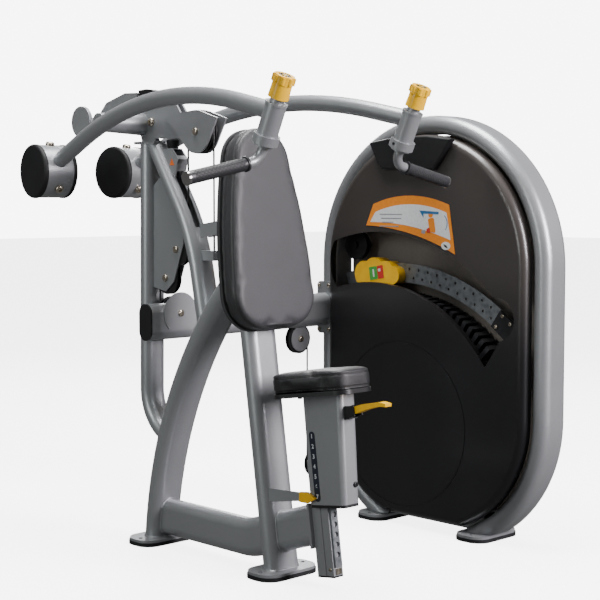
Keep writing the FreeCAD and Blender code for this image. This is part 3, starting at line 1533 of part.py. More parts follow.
PARTS = {
    "foot_pads": foot_pads,
    "foot_plates": foot_plates,
    "front_leg": front_leg,
    "rear_leg": rear_leg,
    "base_tubes": base_tubes,
    "mast": mast,
    "rear_upright": rear_upright,
    "cross_tube": cross_tube,
    "tube_caps": tube_caps,
    "pivot_head": pivot_head,
    "small_brackets": small_brackets,
    "bumper": bumper,
    "pulley_brackets": pulley_brackets,
    "frame_fasteners": frame_fasteners,
    "yoke_cable": yoke_cable,
    "base_cable": base_cable,
    "backrest_board": backrest_board,
    "backrest_pad": backrest_pad,
    "seat_post": seat_post,
    "latch_strip": latch_strip,
    "pointer_tip": pointer_tip,
    "tower_arch": tower_arch,
    "tower_fittings": tower_fittings,
    "front_shroud": front_shroud,
    "back_panel": back_panel,
    "placard": placard,
    "badge_pod": badge_pod,
    "selector_arc": selector_arc,
    "tower_posts": tower_posts,
    "selector": selector,
    "weight_lever": weight_lever,
    "weight_plates": weight_plates,
    "arm_tubes": arm_tubes,
    "arm_hub": hub_and_yoke,
    "arm_bolts": arm_bolts,
    "drum_shells": drum_shells,
    "drum_caps": drum_caps,
    "counterweight": counterweight,
    "hub_cover": hub_cover,
    "handle_sleeves": handle_sleeves,
    "yoke_pulley": yoke_pulley,
    "cross_pulley": cross_pulley,
    "hanger_pulley": hanger_pulley,
    "base_pulley": base_pulley,
    "seat_sleeve": seat_sleeve,
    "sleeve_trim": sleeve_trim,
    "seat_pan": seat_pan,
    "seat_pad": seat_pad,
    "seat_hardware": seat_hardware,
    "seat_lever": seat_lever,
}
for index, place in enumerate(("front", "rear")):
    PARTS[place + "_guide_pulley"] = lambda index=index: guide_pulley(index)
for side, hand in ((-1, "right"), (1, "left")):
    PARTS[hand + "_grip_tube"] = lambda side=side: grip_tube(side)
    PARTS[hand + "_grip"] = lambda side=side: grip(side)
    PARTS[hand + "_knob"] = lambda side=side: knob(side)

os.makedirs("parts", exist_ok=True)
for name, make in PARTS.items():
    make().exportStep("parts/" + name + ".step")
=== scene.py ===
import json
import math

import bpy
from mathutils import Matrix, Vector
from mathutils.bvhtree import BVHTree


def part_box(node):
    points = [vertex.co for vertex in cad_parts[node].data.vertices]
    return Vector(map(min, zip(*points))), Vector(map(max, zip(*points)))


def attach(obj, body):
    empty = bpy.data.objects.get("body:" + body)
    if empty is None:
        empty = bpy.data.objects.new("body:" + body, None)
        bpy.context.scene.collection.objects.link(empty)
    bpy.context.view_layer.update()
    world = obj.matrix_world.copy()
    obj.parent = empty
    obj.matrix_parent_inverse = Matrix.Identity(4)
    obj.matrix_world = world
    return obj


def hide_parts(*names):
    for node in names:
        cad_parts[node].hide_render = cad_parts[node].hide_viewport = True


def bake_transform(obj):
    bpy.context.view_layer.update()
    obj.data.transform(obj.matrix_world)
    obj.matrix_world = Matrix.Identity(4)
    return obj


bl_info = {
    "name": "Shoulder press machine",
    "version": (1, 0, 0),
    "blender": (4, 5, 0),
    "location": "View3D > Sidebar > Press machine",
    "description": "Upholstery, trim, finishes and a studio for a seated shoulder press machine",
    "category": "Object",
}

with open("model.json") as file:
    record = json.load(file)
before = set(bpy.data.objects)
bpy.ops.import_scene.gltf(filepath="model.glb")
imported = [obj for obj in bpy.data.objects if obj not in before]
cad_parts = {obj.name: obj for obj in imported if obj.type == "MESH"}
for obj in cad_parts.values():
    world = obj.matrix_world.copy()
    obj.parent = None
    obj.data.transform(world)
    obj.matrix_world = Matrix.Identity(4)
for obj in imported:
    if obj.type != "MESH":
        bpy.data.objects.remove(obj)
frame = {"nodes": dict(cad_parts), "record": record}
NODES = frame["nodes"]

# Leaning frames of the two upholstered parts: origin, degrees tipped towards +Y
LEG_FOOT = Vector((0.0, 0.003, 0.020))
LEG_LEAN = 8.3
SEAT_FOOT = Vector((0.0, -0.1995, 0.0355))
SEAT_LEAN = 8.0
BOARD_FACE = -0.043                 # the backrest board's front in the leg's frame
PAN_TOP = 0.516                     # the seat pan's top in the seat's frame
SHROUD_FACE = 0.695
YOKE_CENTRE = Vector((0.0, 0.355, 1.285))
YOKE_RADIUS = 0.060
GUIDE_HEIGHT = 0.928
HANDLE_UP = Vector((0.0, -math.sin(math.radians(24.4)), math.cos(math.radians(24.4))))
HANDLE_FOOT = Vector((0.263, -0.217, 1.228))
X_DIR = Vector((1.0, 0.0, 0.0))
KNOB_BASE = 0.125                   # along the handle, from its foot
KNOB_HEIGHT = 0.062
GRIP_END = Vector((0.495, -0.186, 1.135))
GRIP_LENGTH = 0.187

# Upholstery: seams from the board's or pan's face, and a middle that every seam runs round
BACK_SEAMS = (0.010, 0.047)
BACK_MIDDLE = (0.0, 0.96)
SEAT_SEAMS = (0.006, 0.043)
SEAT_MIDDLE = (0.0, -0.055)
CLOTH_STEPS = 20
CLOTH_STIFFNESS = 15.0
CLOTH_BENDING = 12.0
SMOOTH_PASSES = 10

# Trim
SCALE_MIDDLE = Vector((-0.0325, -0.0126, 0.307))    # in the seat's frame
SCALE_STRIP = (0.022, 0.196)
DIGIT_SIZE = 0.017
LABEL_SIZE = (0.064, 0.044)
LABEL_LEAN = 9.0
STICKER_AT = (-0.020, 0.470, 1.196)
KNOB_INSET_DROP = 0.0021            # how deep the inset stands in the knob's top
CABLE_STEPS = 24                    # points along each upper strand
YOKE_STEPS = 20                     # points over the yoke's wheel
WELD_REACH = 0.4
WELD_LEAST_POINTS = 20

# Studio
SENSOR_WIDTH = 36.0
STUDIO_MIDDLE = (0.2, 0.3, 0.7)     # what every light points at
WHITE = (1.0, 1.0, 1.0, 1.0)


# ---------------------------------------------------------------- settings

class PressPads(bpy.types.PropertyGroup):
    """Sizes of the upholstery"""
    voxel: bpy.props.FloatProperty(
        name="Foam grain", description="Edge length of the cushion mesh before it is smoothed",
        default=0.0055, min=0.004, max=0.01, unit="LENGTH")
    squeeze: bpy.props.FloatProperty(
        name="Foam start", description="How much smaller the cushion starts than its cover",
        default=0.004, min=0.0, max=0.01, unit="LENGTH")
    swell: bpy.props.FloatProperty(
        name="Swell", description="The furthest that the foam pushes the cover out",
        default=0.006, min=0.001, max=0.03, unit="LENGTH")
    pressure: bpy.props.FloatProperty(
        name="Pressure", description="Push of the foam inside the cover", default=4.0, min=0.5, max=20.0)
    welt: bpy.props.FloatProperty(
        name="Welt radius", description="Radius of the sewn welts", default=0.0016, min=0.0005,
        max=0.005, unit="LENGTH")
    groove: bpy.props.FloatProperty(
        name="Seam depth", description="How far a seam pulls the cover in", default=0.0018, min=0.0,
        max=0.006, unit="LENGTH")


class PressTrim(bpy.types.PropertyGroup):
    """Sizes of the small trim"""
    bead: bpy.props.FloatProperty(
        name="Weld bead", description="Radius of the weld beads", default=0.0036, min=0.001,
        max=0.01, unit="LENGTH")
    cable: bpy.props.FloatProperty(
        name="Cable radius", description="Radius of the coated cable", default=0.003, min=0.001,
        max=0.006, unit="LENGTH")
    scale_step: bpy.props.FloatProperty(
        name="Scale step", description="Distance between two digits of the seat scale",
        default=0.028, min=0.01, max=0.05, unit="LENGTH")
    scale_digits: bpy.props.IntProperty(
        name="Scale digits", description="How many seat heights are marked", default=7, min=1, max=9)


def colour_property(name, description, default):
    return bpy.props.FloatVectorProperty(
        name=name, description=description, subtype="COLOR", size=3, min=0.0, max=1.0,
        default=default)


class PressColours(bpy.types.PropertyGroup):
    """Colours of the finishes"""
    silver: colour_property("Silver", "Metallic powder coat of the frame", (0.33, 0.34, 0.352))
    black: colour_property("Black", "Rubber and nylon parts", (0.008, 0.008, 0.009))
    vinyl: colour_property("Vinyl", "Upholstery cover", (0.040, 0.040, 0.043))
    seat_vinyl: colour_property("Seat vinyl", "Seat cover", (0.016, 0.016, 0.018))
    shroud_low: colour_property("Shroud below", "Smoked moulding, lower part", (0.004, 0.004, 0.005))
    shroud_high: colour_property("Shroud above", "Smoked moulding, upper part", (0.040, 0.034, 0.031))
    yellow: colour_property("Yellow", "Knobs, levers and pointer", (1.0, 0.52, 0.0))
    orange: colour_property("Orange", "Border of the instruction plate", (0.90, 0.27, 0.015))
    panel: colour_property("Back panel", "Sheet behind the weights", (0.21, 0.185, 0.165))


class PressStudio(bpy.types.PropertyGroup):
    """Camera and lights"""
    lens: bpy.props.FloatProperty(
        name="Lens", description="Focal length on a 36 mm wide sensor", default=84.0, min=20.0,
        max=300.0, subtype="DISTANCE_CAMERA")
    camera_at: bpy.props.FloatVectorProperty(
        name="Camera place", description="Where the camera stands", size=3,
        default=(-2.729, -2.912, 1.084), subtype="XYZ", unit="LENGTH")
    azimuth: bpy.props.FloatProperty(
        name="Azimuth", description="Turn of the camera about the vertical",
        default=math.radians(-43.9), subtype="ANGLE")
    pitch: bpy.props.FloatProperty(
        name="Pitch", description="How far the camera looks down", default=math.radians(4.14),
        subtype="ANGLE")
    sky_light: bpy.props.FloatProperty(
        name="Sky light", description="Strength of the light from all round", default=0.16, min=0.0, max=5.0)
    backdrop: bpy.props.FloatProperty(
        name="Backdrop", description="Brightness of the backdrop", default=7.5, min=0.0, max=20.0)
    floor_size: bpy.props.FloatProperty(
        name="Floor size", description="Side of the floor", default=60.0, min=5.0, max=200.0,
        unit="LENGTH")


# ---------------------------------------------------------------- shader helpers

class Wire:
    """One output socket; arithmetic on it adds Math nodes."""

    def __init__(self, paint, socket):
        self.paint = paint
        self.socket = socket

    def maths(self, operation, *values):
        return self.paint.add("ShaderNodeMath", {"operation": operation}, values)

    def __add__(self, other):
        return self.maths("ADD", self, other)

    __radd__ = __add__

    def __sub__(self, other):
        return self.maths("SUBTRACT", self, other)

    def __rsub__(self, other):
        return self.maths("SUBTRACT", other, self)

    def __mul__(self, other):
        return self.maths("MULTIPLY", self, other)

    __rmul__ = __mul__

    def above(self, other):
        return self.maths("GREATER_THAN", self, other)

    def below(self, other):
        return self.maths("LESS_THAN", self, other)

    def smaller(self, other):
        return self.maths("MINIMUM", self, other)

    def sine(self):
        return self.maths("SINE", self)

    def size(self):
        return self.maths("ABSOLUTE", self)

    def ramp(self, low, high):
        """0 below low, 1 above high and smooth between them."""
        settings = {"interpolation_type": "SMOOTHSTEP"}
        values = {"Value": self, "From Min": low, "From Max": high}
        return self.paint.add("ShaderNodeMapRange", settings, values)


class Paint:
    """A finish: one Principled shader with what varies over the surface wired into it."""

    def __init__(self, name, colour, roughness, **fixed):
        self.material = bpy.data.materials.new(name)
        self.material.use_nodes = True
        self.tree = self.material.node_tree
        self.shader = self.tree.nodes["Principled BSDF"]
        self.shader.inputs["Base Color"].default_value = (*colour, 1.0)
        self.shader.inputs["Roughness"].default_value = roughness
        self.colour = colour
        self.roughness = roughness
        for key, value in fixed.items():
            socket = key.replace("_", " ").title().replace("Ior", "IOR")
            self.shader.inputs[socket].default_value = value
        self.place = self.add("ShaderNodeTexCoord", {}, (), "Object")

    def add(self, kind, settings, values, output=0):
        """A node: its settings first, then its sockets from plain values or wires."""
        node = self.tree.nodes.new(kind)
        for key, value in settings.items():
            setattr(node, key, value)
        pairs = values.items() if isinstance(values, dict) else enumerate(values)
        for key, value in pairs:
            if isinstance(value, Wire):
                self.tree.links.new(value.socket, node.inputs[key])
            else:
                node.inputs[key].default_value = value
        return Wire(self, node.outputs[output])

    def feed(self, socket, wire):
        self.tree.links.new(wire.socket, self.shader.inputs[socket])

    def axes(self, place=None):
        place = place or self.place
        return [self.add("ShaderNodeSeparateXYZ", {}, (place,), axis) for axis in "XYZ"]

    def turned(self, origin, turn):
        """The place seen from an origin and turn of its own."""
        mapping = {"Vector": self.place, "Location": origin, "Rotation": turn}
        return self.add("ShaderNodeMapping", {"vector_type": "TEXTURE"}, mapping)

    def noise(self, scale, detail=2.0, place=None):
        values = {"Vector": place or self.place, "Scale": scale, "Detail": detail}
        return self.add("ShaderNodeTexNoise", {}, values, "Fac")

    def cells(self, scale, feature="DISTANCE_TO_EDGE", place=None):
        values = {"Vector": place or self.place, "Scale": scale}
        return self.add("ShaderNodeTexVoronoi", {"feature": feature}, values, "Distance")

    def mixed(self, share, low, high):
        """A colour between two, by a wired share."""
        node = self.tree.nodes.new("ShaderNodeMix")
        node.data_type = "RGBA"
        node.clamp_factor = True
        self.tree.links.new(share.socket, node.inputs[0])
        for socket, value in ((node.inputs[6], low), (node.inputs[7], high)):
            if isinstance(value, Wire):
                self.tree.links.new(value.socket, socket)
            else:
                socket.default_value = (*value, 1.0)
        return Wire(self, node.outputs[2])

    def bump(self, height, depth, strength=1.0):
        """Relief of a height from 0 to 1, so many metres deep."""
        values = {"Height": height, "Distance": depth, "Strength": strength}
        self.feed("Normal", self.add("ShaderNodeBump", {}, values))


def shade(colour, factor):
    return tuple(min(1.0, part * factor) for part in colour)


def rubbed(paint, amount, scale=14.0):
    """A little unevenness in colour and gloss, as handled surfaces have."""
    cloud = paint.noise(scale, 4.0)
    fine = paint.noise(scale * 23.0, 2.0)
    share = (cloud * 0.7 + fine * 0.3).ramp(0.3, 0.7)
    dark, light = shade(paint.colour, 1.0 - amount), shade(paint.colour, 1.0 + amount)
    paint.feed("Base Color", paint.mixed(share, dark, light))
    paint.feed("Roughness", share * (amount * 0.5) + (paint.roughness - amount * 0.25))


# ---------------------------------------------------------------- finishes

def silver_finish(colours):
    """Metallic powder coat: fine flakes, a slight orange peel and darker low parts."""
    paint = Paint("silver_powder_coat", tuple(colours.silver), 0.36, metallic=0.55, coat_weight=0.25,
                  coat_roughness=0.18)
    flakes = paint.noise(1500.0, 1.0).ramp(0.42, 0.62)
    cloud = paint.noise(5.0, 3.0)
    height = paint.axes()[2].ramp(0.0, 0.22)
    share = flakes * 0.55 + cloud * 0.25 + height * 0.20
    paint.feed("Base Color", paint.mixed(share, shade(colours.silver, 0.72), shade(colours.silver, 1.25)))
    paint.feed("Roughness", 0.30 + cloud * 0.10 + flakes * 0.06)
    peel = paint.noise(260.0, 2.0) * 0.6 + flakes * 0.4
    paint.bump(peel, 0.00012, 0.55)
    return paint.material


def rubber_finish(colours):
    paint = Paint("black_rubber", shade(colours.black, 1.15), 0.62, specular_ior_level=0.35)
    rubbed(paint, 0.25)
    paint.bump(paint.noise(1400.0, 2.0), 0.0002, 0.6)
    return paint.material


def nylon_finish(colours):
    paint = Paint("black_nylon", tuple(colours.black), 0.38, specular_ior_level=0.5)
    rubbed(paint, 0.2)
    paint.bump(paint.noise(700.0, 2.0), 0.00012, 0.4)
    return paint.material


def screw_finish():
    paint = Paint("zinc_nickel_screw", (0.52, 0.46, 0.37), 0.26, metallic=1.0)
    rubbed(paint, 0.22, 60.0)
    return paint.material


def galvanised_finish():
    """Zinc plating with soft spangles."""
    paint = Paint("galvanised_steel", (0.20, 0.215, 0.225), 0.40, metallic=0.85)
    spangle = paint.cells(55.0, "F1").ramp(0.0, 0.7)
    cloud = paint.noise(18.0, 4.0)
    share = spangle * 0.5 + cloud * 0.5
    paint.feed("Base Color", paint.mixed(share, (0.13, 0.14, 0.15), (0.31, 0.33, 0.345)))
    paint.feed("Roughness", 0.30 + cloud * 0.22)
    return paint.material


def yellow_finish(colours):
    paint = Paint("yellow_plastic", tuple(colours.yellow), 0.30, coat_weight=0.3, coat_roughness=0.12)
    rubbed(paint, 0.10, 30.0)
    paint.bump(paint.noise(500.0, 2.0), 0.0001, 0.35)
    return paint.material


def vinyl_finish(name, colour, roughness):
    """Upholstery vinyl: a leather grain of uneven cells with fine creases between them."""
    paint = Paint(name, colour, roughness, coat_weight=0.10, coat_roughness=0.35, specular_ior_level=0.45)
    warp = paint.noise(90.0, 2.0)
    bent_place = paint.add("ShaderNodeVectorMath", {"operation": "MULTIPLY_ADD"},
                           {0: warp, 1: (0.004, 0.004, 0.004), 2: paint.place})
    grain = paint.cells(620.0, place=bent_place).ramp(0.0, 0.28)
    coarse = paint.noise(240.0, 3.0, place=bent_place)
    cloud = paint.noise(7.0, 3.0)
    share = grain * 0.35 + cloud * 0.65
    paint.feed("Base Color", paint.mixed(share.ramp(0.2, 0.9), shade(colour, 0.72), shade(colour, 1.22)))
    paint.feed("Roughness", (roughness + 0.08) - grain * 0.10 + (cloud - 0.5) * 0.08)
    paint.bump(grain * 0.7 + coarse * 0.3, 0.00035, 0.7)
    return paint.material


def shroud_finish(colours):
    """Smoked moulding: brown-grey above, near black below."""
    paint = Paint("smoked_moulding", tuple(colours.shroud_low), 0.30, coat_weight=0.35,
                  coat_roughness=0.16, specular_ior_level=0.5)
    _, y, z = paint.axes()
    high = (z + y * -0.18).ramp(0.60, 0.98)
    cloud = paint.noise(2.2, 3.0)
    base = paint.mixed(high, tuple(colours.shroud_low), tuple(colours.shroud_high))
    grey = paint.mixed((cloud * high).ramp(0.25, 0.75) * 0.5, base, shade(colours.shroud_high, 1.25))
    paint.feed("Base Color", grey)
    paint.feed("Roughness", 0.27 + cloud * 0.10 + high * 0.06)
    paint.bump(paint.noise(900.0, 2.0), 0.00006, 0.35)
    return paint.material


def panel_finish(colours):
    paint = Paint("back_sheet", tuple(colours.panel), 0.55)
    rubbed(paint, 0.12, 4.0)
    paint.bump(paint.noise(420.0, 2.0), 0.0001, 0.35)
    return paint.material


def cast_finish():
    paint = Paint("cast_weight", (0.035, 0.036, 0.040), 0.50, metallic=0.3)
    rubbed(paint, 0.3, 40.0)
    paint.bump(paint.noise(330.0, 4.0), 0.0004, 0.7)
    return paint.material


def board_finish():
    paint = Paint("backing_board", (0.045, 0.045, 0.048), 0.5)
    rubbed(paint, 0.2, 30.0)
    paint.bump(paint.noise(900.0, 2.0), 0.0001, 0.4)
    return paint.material


def dark_steel_finish():
    paint = Paint("black_coated_steel", (0.02, 0.02, 0.022), 0.42, metallic=0.4)
    rubbed(paint, 0.2, 30.0)
    paint.bump(paint.noise(600.0, 2.0), 0.0001, 0.4)
    return paint.material


def cable_finish():
    """Black nylon coat over the strands, which show as a slight twist."""
    paint = Paint("coated_cable", (0.012, 0.012, 0.013), 0.34)
    x, _, z = paint.axes()
    twist = (z * 1400.0 + x * 900.0).sine() * 0.5 + 0.5
    paint.feed("Roughness", twist * 0.12 + 0.28)
    paint.bump(twist, 0.0002, 0.4)
    return paint.material


def printed_finish(name, colour):
    """Printed film: one ink with a faint screen grain."""
    paint = Paint(name, colour, 0.34, coat_weight=0.25, coat_roughness=0.1)
    rubbed(paint, 0.06, 120.0)
    return paint.material


def grip_finish(name, side, colours):
    """Moulded grip: raised diamonds along it, smooth black rings at its ends and a bright cap, with painted
    shade in the grooves and painted highlight on the tops.
    """
    start = Vector((side * HANDLE_FOOT.x, HANDLE_FOOT.y, HANDLE_FOOT.z)) - HANDLE_UP * 0.050
    end = Vector((side * GRIP_END.x, GRIP_END.y, GRIP_END.z))
    way = (end - start).normalized()
    turn = way.to_track_quat("Z", "Y").to_euler()
    paint = Paint(name, shade(colours.black, 1.1), 0.5, specular_ior_level=0.4)
    x, y, z = paint.axes(paint.turned(tuple(end), tuple(turn)))
    angle = paint.add("ShaderNodeMath", {"operation": "ARCTAN2"}, (y, x))
    first = (angle * 5.0 + z * 260.0).sine().size()
    second = (angle * 5.0 - z * 260.0).sine().size()
    diamond = first.smaller(second).ramp(0.12, 0.5)
    middle = z.above(-GRIP_LENGTH + 0.010) * z.below(-0.014)
    cap = z.above(-0.0005)
    relief = diamond * middle + (1.0 - middle)
    cloud = paint.noise(30.0, 3.0)
    # Painted shade and highlight: the colour follows the relief, darker in the grooves and lighter on the
    # raised tops and end rings
    dark = paint.mixed(relief * 0.6 + cloud * 0.4, shade(colours.black, 0.6), shade(colours.black, 3.4))
    paint.feed("Base Color", paint.mixed(cap, dark, (0.35, 0.34, 0.33)))
    paint.feed("Metallic", cap * 0.9)
    paint.feed("Roughness", 0.55 - cap * 0.30 - (1.0 - middle) * 0.16)
    paint.bump(relief * 0.9 + paint.noise(900.0, 2.0) * 0.1, 0.0012, 0.9)
    return paint.material


# ---------------------------------------------------------------- modelling helpers

def alone(piece):
    """Only this piece is selected and active, in object mode."""
    if bpy.context.mode != "OBJECT":
        bpy.ops.object.mode_set(mode="OBJECT")
    bpy.ops.object.select_all(action="DESELECT")
    piece.select_set(True)
    bpy.context.view_layer.objects.active = piece


def begin():
    if bpy.context.mode != "OBJECT":
        bpy.ops.object.mode_set(mode="OBJECT")
    bpy.ops.object.select_all(action="DESELECT")


def modified(piece, kind, **settings):
    alone(piece)
    modifier = piece.modifiers.new(kind.title(), kind)
    for key, value in settings.items():
        setattr(modifier, key, value)
    bpy.ops.object.modifier_apply(modifier=modifier.name)


def settled(piece, matrix):
    """The piece's place goes into its mesh, and its object back to the origin."""
    alone(piece)
    piece.matrix_world = matrix
    bpy.ops.object.transform_apply(location=True, rotation=True, scale=True)
    return piece


def smooth(piece, degrees=35.0):
    alone(piece)
    bpy.ops.object.shade_smooth_by_angle(angle=math.radians(degrees))


def finished(piece, name, material, body, degrees=35.0):
    """Names, paints and fastens a piece that is in place."""
    piece.name = name
    piece.data.name = name
    piece.data.materials.clear()
    piece.data.materials.append(material)
    smooth(piece, degrees)
    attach(piece, body)


def made_mesh(piece):
    alone(piece)
    bpy.ops.object.convert(target="MESH")
    return bpy.context.view_layer.objects.active


def flat_piece(outline, thick, matrix, edge=0.0):
    """A thin plate from a flat outline, standing on the plane of its matrix."""
    begin()
    curve = bpy.data.curves.new("outline", "CURVE")
    curve.dimensions = "2D"
    curve.fill_mode = "BOTH"
    curve.extrude = thick / 2 - edge
    curve.bevel_depth = edge
    curve.offset = -edge
    spline = curve.splines.new("POLY")
    spline.points.add(len(outline) - 1)
    for point, spot in zip(spline.points, outline):
        point.co = (spot[0], spot[1], 0.0, 1.0)
    spline.use_cyclic_u = True
    piece = bpy.data.objects.new("outline", curve)
    bpy.context.scene.collection.objects.link(piece)
    piece = made_mesh(piece)
    alone(piece)
    bpy.ops.object.mode_set(mode="EDIT")
    bpy.ops.mesh.select_all(action="SELECT")
    bpy.ops.mesh.remove_doubles(threshold=1e-6)
    bpy.ops.mesh.normals_make_consistent(inside=False)
    bpy.ops.object.mode_set(mode="OBJECT")
    return settled(piece, matrix @ Matrix.Translation((0.0, 0.0, thick / 2)))


def tube(points, radius, closed=False, sides=3):
    """A round bead or cable along smooth points."""
    begin()
    curve = bpy.data.curves.new("run", "CURVE")
    curve.dimensions = "3D"
    curve.bevel_depth = radius
    curve.bevel_resolution = sides
    curve.use_fill_caps = not closed
    curve.resolution_u = 3
    spline = curve.splines.new("NURBS")
    spline.points.add(len(points) - 1)
    for point, spot in zip(spline.points, points):
        point.co = (*spot, 1.0)
    spline.order_u = 3
    spline.use_cyclic_u = closed
    spline.use_endpoint_u = not closed
    piece = bpy.data.objects.new("run", curve)
    bpy.context.scene.collection.objects.link(piece)
    return made_mesh(piece)


def disc_piece(radius, thick, matrix, edge, ring, step):
    """A round boss with a broken edge; a ring and a step sink its middle."""
    begin()
    bpy.ops.mesh.primitive_cylinder_add(vertices=48, radius=radius, depth=thick, location=(0, 0, thick / 2))
    piece = bpy.context.view_layer.objects.active
    bpy.ops.object.mode_set(mode="EDIT")
    bpy.ops.mesh.select_all(action="DESELECT")
    bpy.ops.object.mode_set(mode="OBJECT")
    for face in piece.data.polygons:
        face.select = face.normal.z > 0.9
    bpy.ops.object.mode_set(mode="EDIT")
    bpy.ops.mesh.select_mode(type="FACE")
    bpy.ops.mesh.inset(thickness=ring, depth=0.0)
    bpy.ops.mesh.inset(thickness=abs(step), depth=step)
    bpy.ops.object.mode_set(mode="OBJECT")
    modified(piece, "BEVEL", width=edge, segments=2, limit_method="ANGLE")
    return settled(piece, matrix)


def wall_frame(x, y, z, lean=0.0):
    """A frame on a face that looks towards -X: its X runs towards -Y, its Y upwards."""
    up = Vector((0.0, math.sin(math.radians(lean)), math.cos(math.radians(lean))))
    out = Vector((-1.0, 0.0, 0.0))
    right = up.cross(out)
    turn = Matrix((right, up, out)).transposed().to_4x4()
    return Matrix.Translation((x, y, z)) @ turn


def top_frame(point, up):
    """A frame at a point with its Z along up and its X along +X."""
    out = up.normalized()
    side = (X_DIR - out * X_DIR.dot(out)).normalized()
    turn = Matrix((side, out.cross(side), out)).transposed().to_4x4()
    return Matrix.Translation(point) @ turn


def leaning(foot, lean):
    """The matrix of a part that leans towards +Y about its foot."""
    return Matrix.Translation(foot) @ Matrix.Rotation(-math.radians(lean), 4, "X")


def through(first, middle, last, count):
    """Points on the circle through three flat points, from the first to the last."""
    a, b, c = (Vector(point) for point in (first, middle, last))
    d = 2 * (a.x * (b.y - c.y) + b.x * (c.y - a.y) + c.x * (a.y - b.y))
    sa, sb, sc = (point.length_squared for point in (a, b, c))
    centre = Vector(((sa * (b.y - c.y) + sb * (c.y - a.y) + sc * (a.y - b.y)) / d,
                     (sa * (c.x - b.x) + sb * (a.x - c.x) + sc * (b.x - a.x)) / d))
    start = math.atan2(a.y - centre.y, a.x - centre.x)
    spans = [(math.atan2(p.y - centre.y, p.x - centre.x) - start) % (2 * math.pi) for p in (b, c)]
    sweep = spans[1] if spans[0] < spans[1] else spans[1] - 2 * math.pi
    radius = (a - centre).length
    turns = [start + sweep * i / count for i in range(count + 1)]
    return [centre + Vector((math.cos(turn), math.sin(turn))) * radius for turn in turns]


def pill(width, height, count=10):
    """A flat outline with half-round ends above and below."""
    radius = width / 2
    straight = height / 2 - radius
    points = []
    for middle, base in ((straight, 0.0), (-straight, math.pi)):
        for i in range(count + 1):
            angle = base + math.pi * i / count
            points.append((radius * math.cos(angle), middle + radius * math.sin(angle)))
    return points


def rectangle(left, low, right, high):
    return [(left, low), (right, low), (right, high), (left, high)]


def oval(x, y, half_wide, half_high, count):
    """A flat outline round a middle."""
    turns = [2 * math.pi * t / count for t in range(count)]
    return [(x + half_wide * math.cos(turn), y + half_high * math.sin(turn)) for turn in turns]


def rounded(points, radius, count=5):
    """A flat outline with its corners rounded, counter-clockwise or clockwise."""
    result = []
    total = len(points)
    for i, point in enumerate(points):
        here = Vector(point)
        before = Vector(points[i - 1]) - here
        after = Vector(points[(i + 1) % total]) - here
        reach = min(radius, before.length * 0.45, after.length * 0.45)
        start = here + before.normalized() * reach
        end = here + after.normalized() * reach
        for k in range(count + 1):
            t = k / count
            result.append(start * (1 - t) ** 2 + here * 2 * t * (1 - t) + end * t ** 2)
    return result


# ---------------------------------------------------------------- upholstery

def foam(node, name, frame_matrix, thickness_axis, base, pads):
    """A cushion swollen from its plain solid, flat on its board."""
    begin()
    piece = bpy.data.objects.new(name, NODES[node].data.copy())
    bpy.context.scene.collection.objects.link(piece)
    alone(piece)
    bpy.ops.object.mode_set(mode="EDIT")
    bpy.ops.mesh.select_all(action="SELECT")
    bpy.ops.mesh.remove_doubles(threshold=1e-5)
    bpy.ops.mesh.normals_make_consistent(inside=False)
    bpy.ops.object.mode_set(mode="OBJECT")
    piece.data.remesh_voxel_size = pads.voxel
    bpy.ops.object.voxel_remesh()
    modified(piece, "DISPLACE", strength=-pads.squeeze, mid_level=0.0)
    swell(piece, pads)
    inverse = frame_matrix.inverted()
    sign = -1.0 if thickness_axis == 1 else 1.0
    for vertex in piece.data.vertices:
        spot = inverse @ vertex.co
        if (spot[thickness_axis] - base) * sign < pads.squeeze + 0.0025:
            spot[thickness_axis] = base + sign * 0.0004
            vertex.co = frame_matrix @ spot
    modified(piece, "SMOOTH", factor=0.5, iterations=SMOOTH_PASSES)
    modified(piece, "SUBSURF", levels=1, render_levels=1)
    return piece


def swell(piece, pads):
    """Cloth pushed out by the foam, no point further than the cap."""
    start = [vertex.co.copy() for vertex in piece.data.vertices]
    alone(piece)
    cloth = piece.modifiers.new("Cloth", "CLOTH")
    cloth.settings.use_pressure = True
    cloth.settings.uniform_pressure_force = pads.pressure
    cloth.settings.effector_weights.gravity = 0.0
    cloth.settings.tension_stiffness = CLOTH_STIFFNESS
    cloth.settings.compression_stiffness = CLOTH_STIFFNESS
    cloth.settings.bending_stiffness = CLOTH_BENDING
    cloth.collision_settings.use_collision = False
    cloth.point_cache.frame_start = 1
    cloth.point_cache.frame_end = CLOTH_STEPS
    for step in range(1, CLOTH_STEPS + 1):
        bpy.context.scene.frame_set(step)
    bpy.ops.object.modifier_apply(modifier=cloth.name)
    bpy.context.scene.frame_set(1)
    for vertex, first in zip(piece.data.vertices, start):
        move = vertex.co - first
        if move.length > pads.swell:
            vertex.co = first + move * (pads.swell / move.length)


def seamed(piece, frame_matrix, axis, levels, depth, width=0.0028):
    """The cover is pulled in along seams that run round it at some levels."""
    inverse = frame_matrix.inverted()
    turn = frame_matrix.to_3x3()
    back = turn.inverted()
    normals = [vertex.normal.copy() for vertex in piece.data.vertices]
    for vertex, normal in zip(piece.data.vertices, normals):
        spot = inverse @ vertex.co
        flat = back @ normal
        flat[axis] = 0.0
        if flat.length < 0.35:
            continue
        pull = sum(math.exp(-((spot[axis] - level) / width) ** 2) for level in levels)
        if pull > 0.02:
            vertex.co = vertex.co - (turn @ flat.normalized()) * (pull * depth)


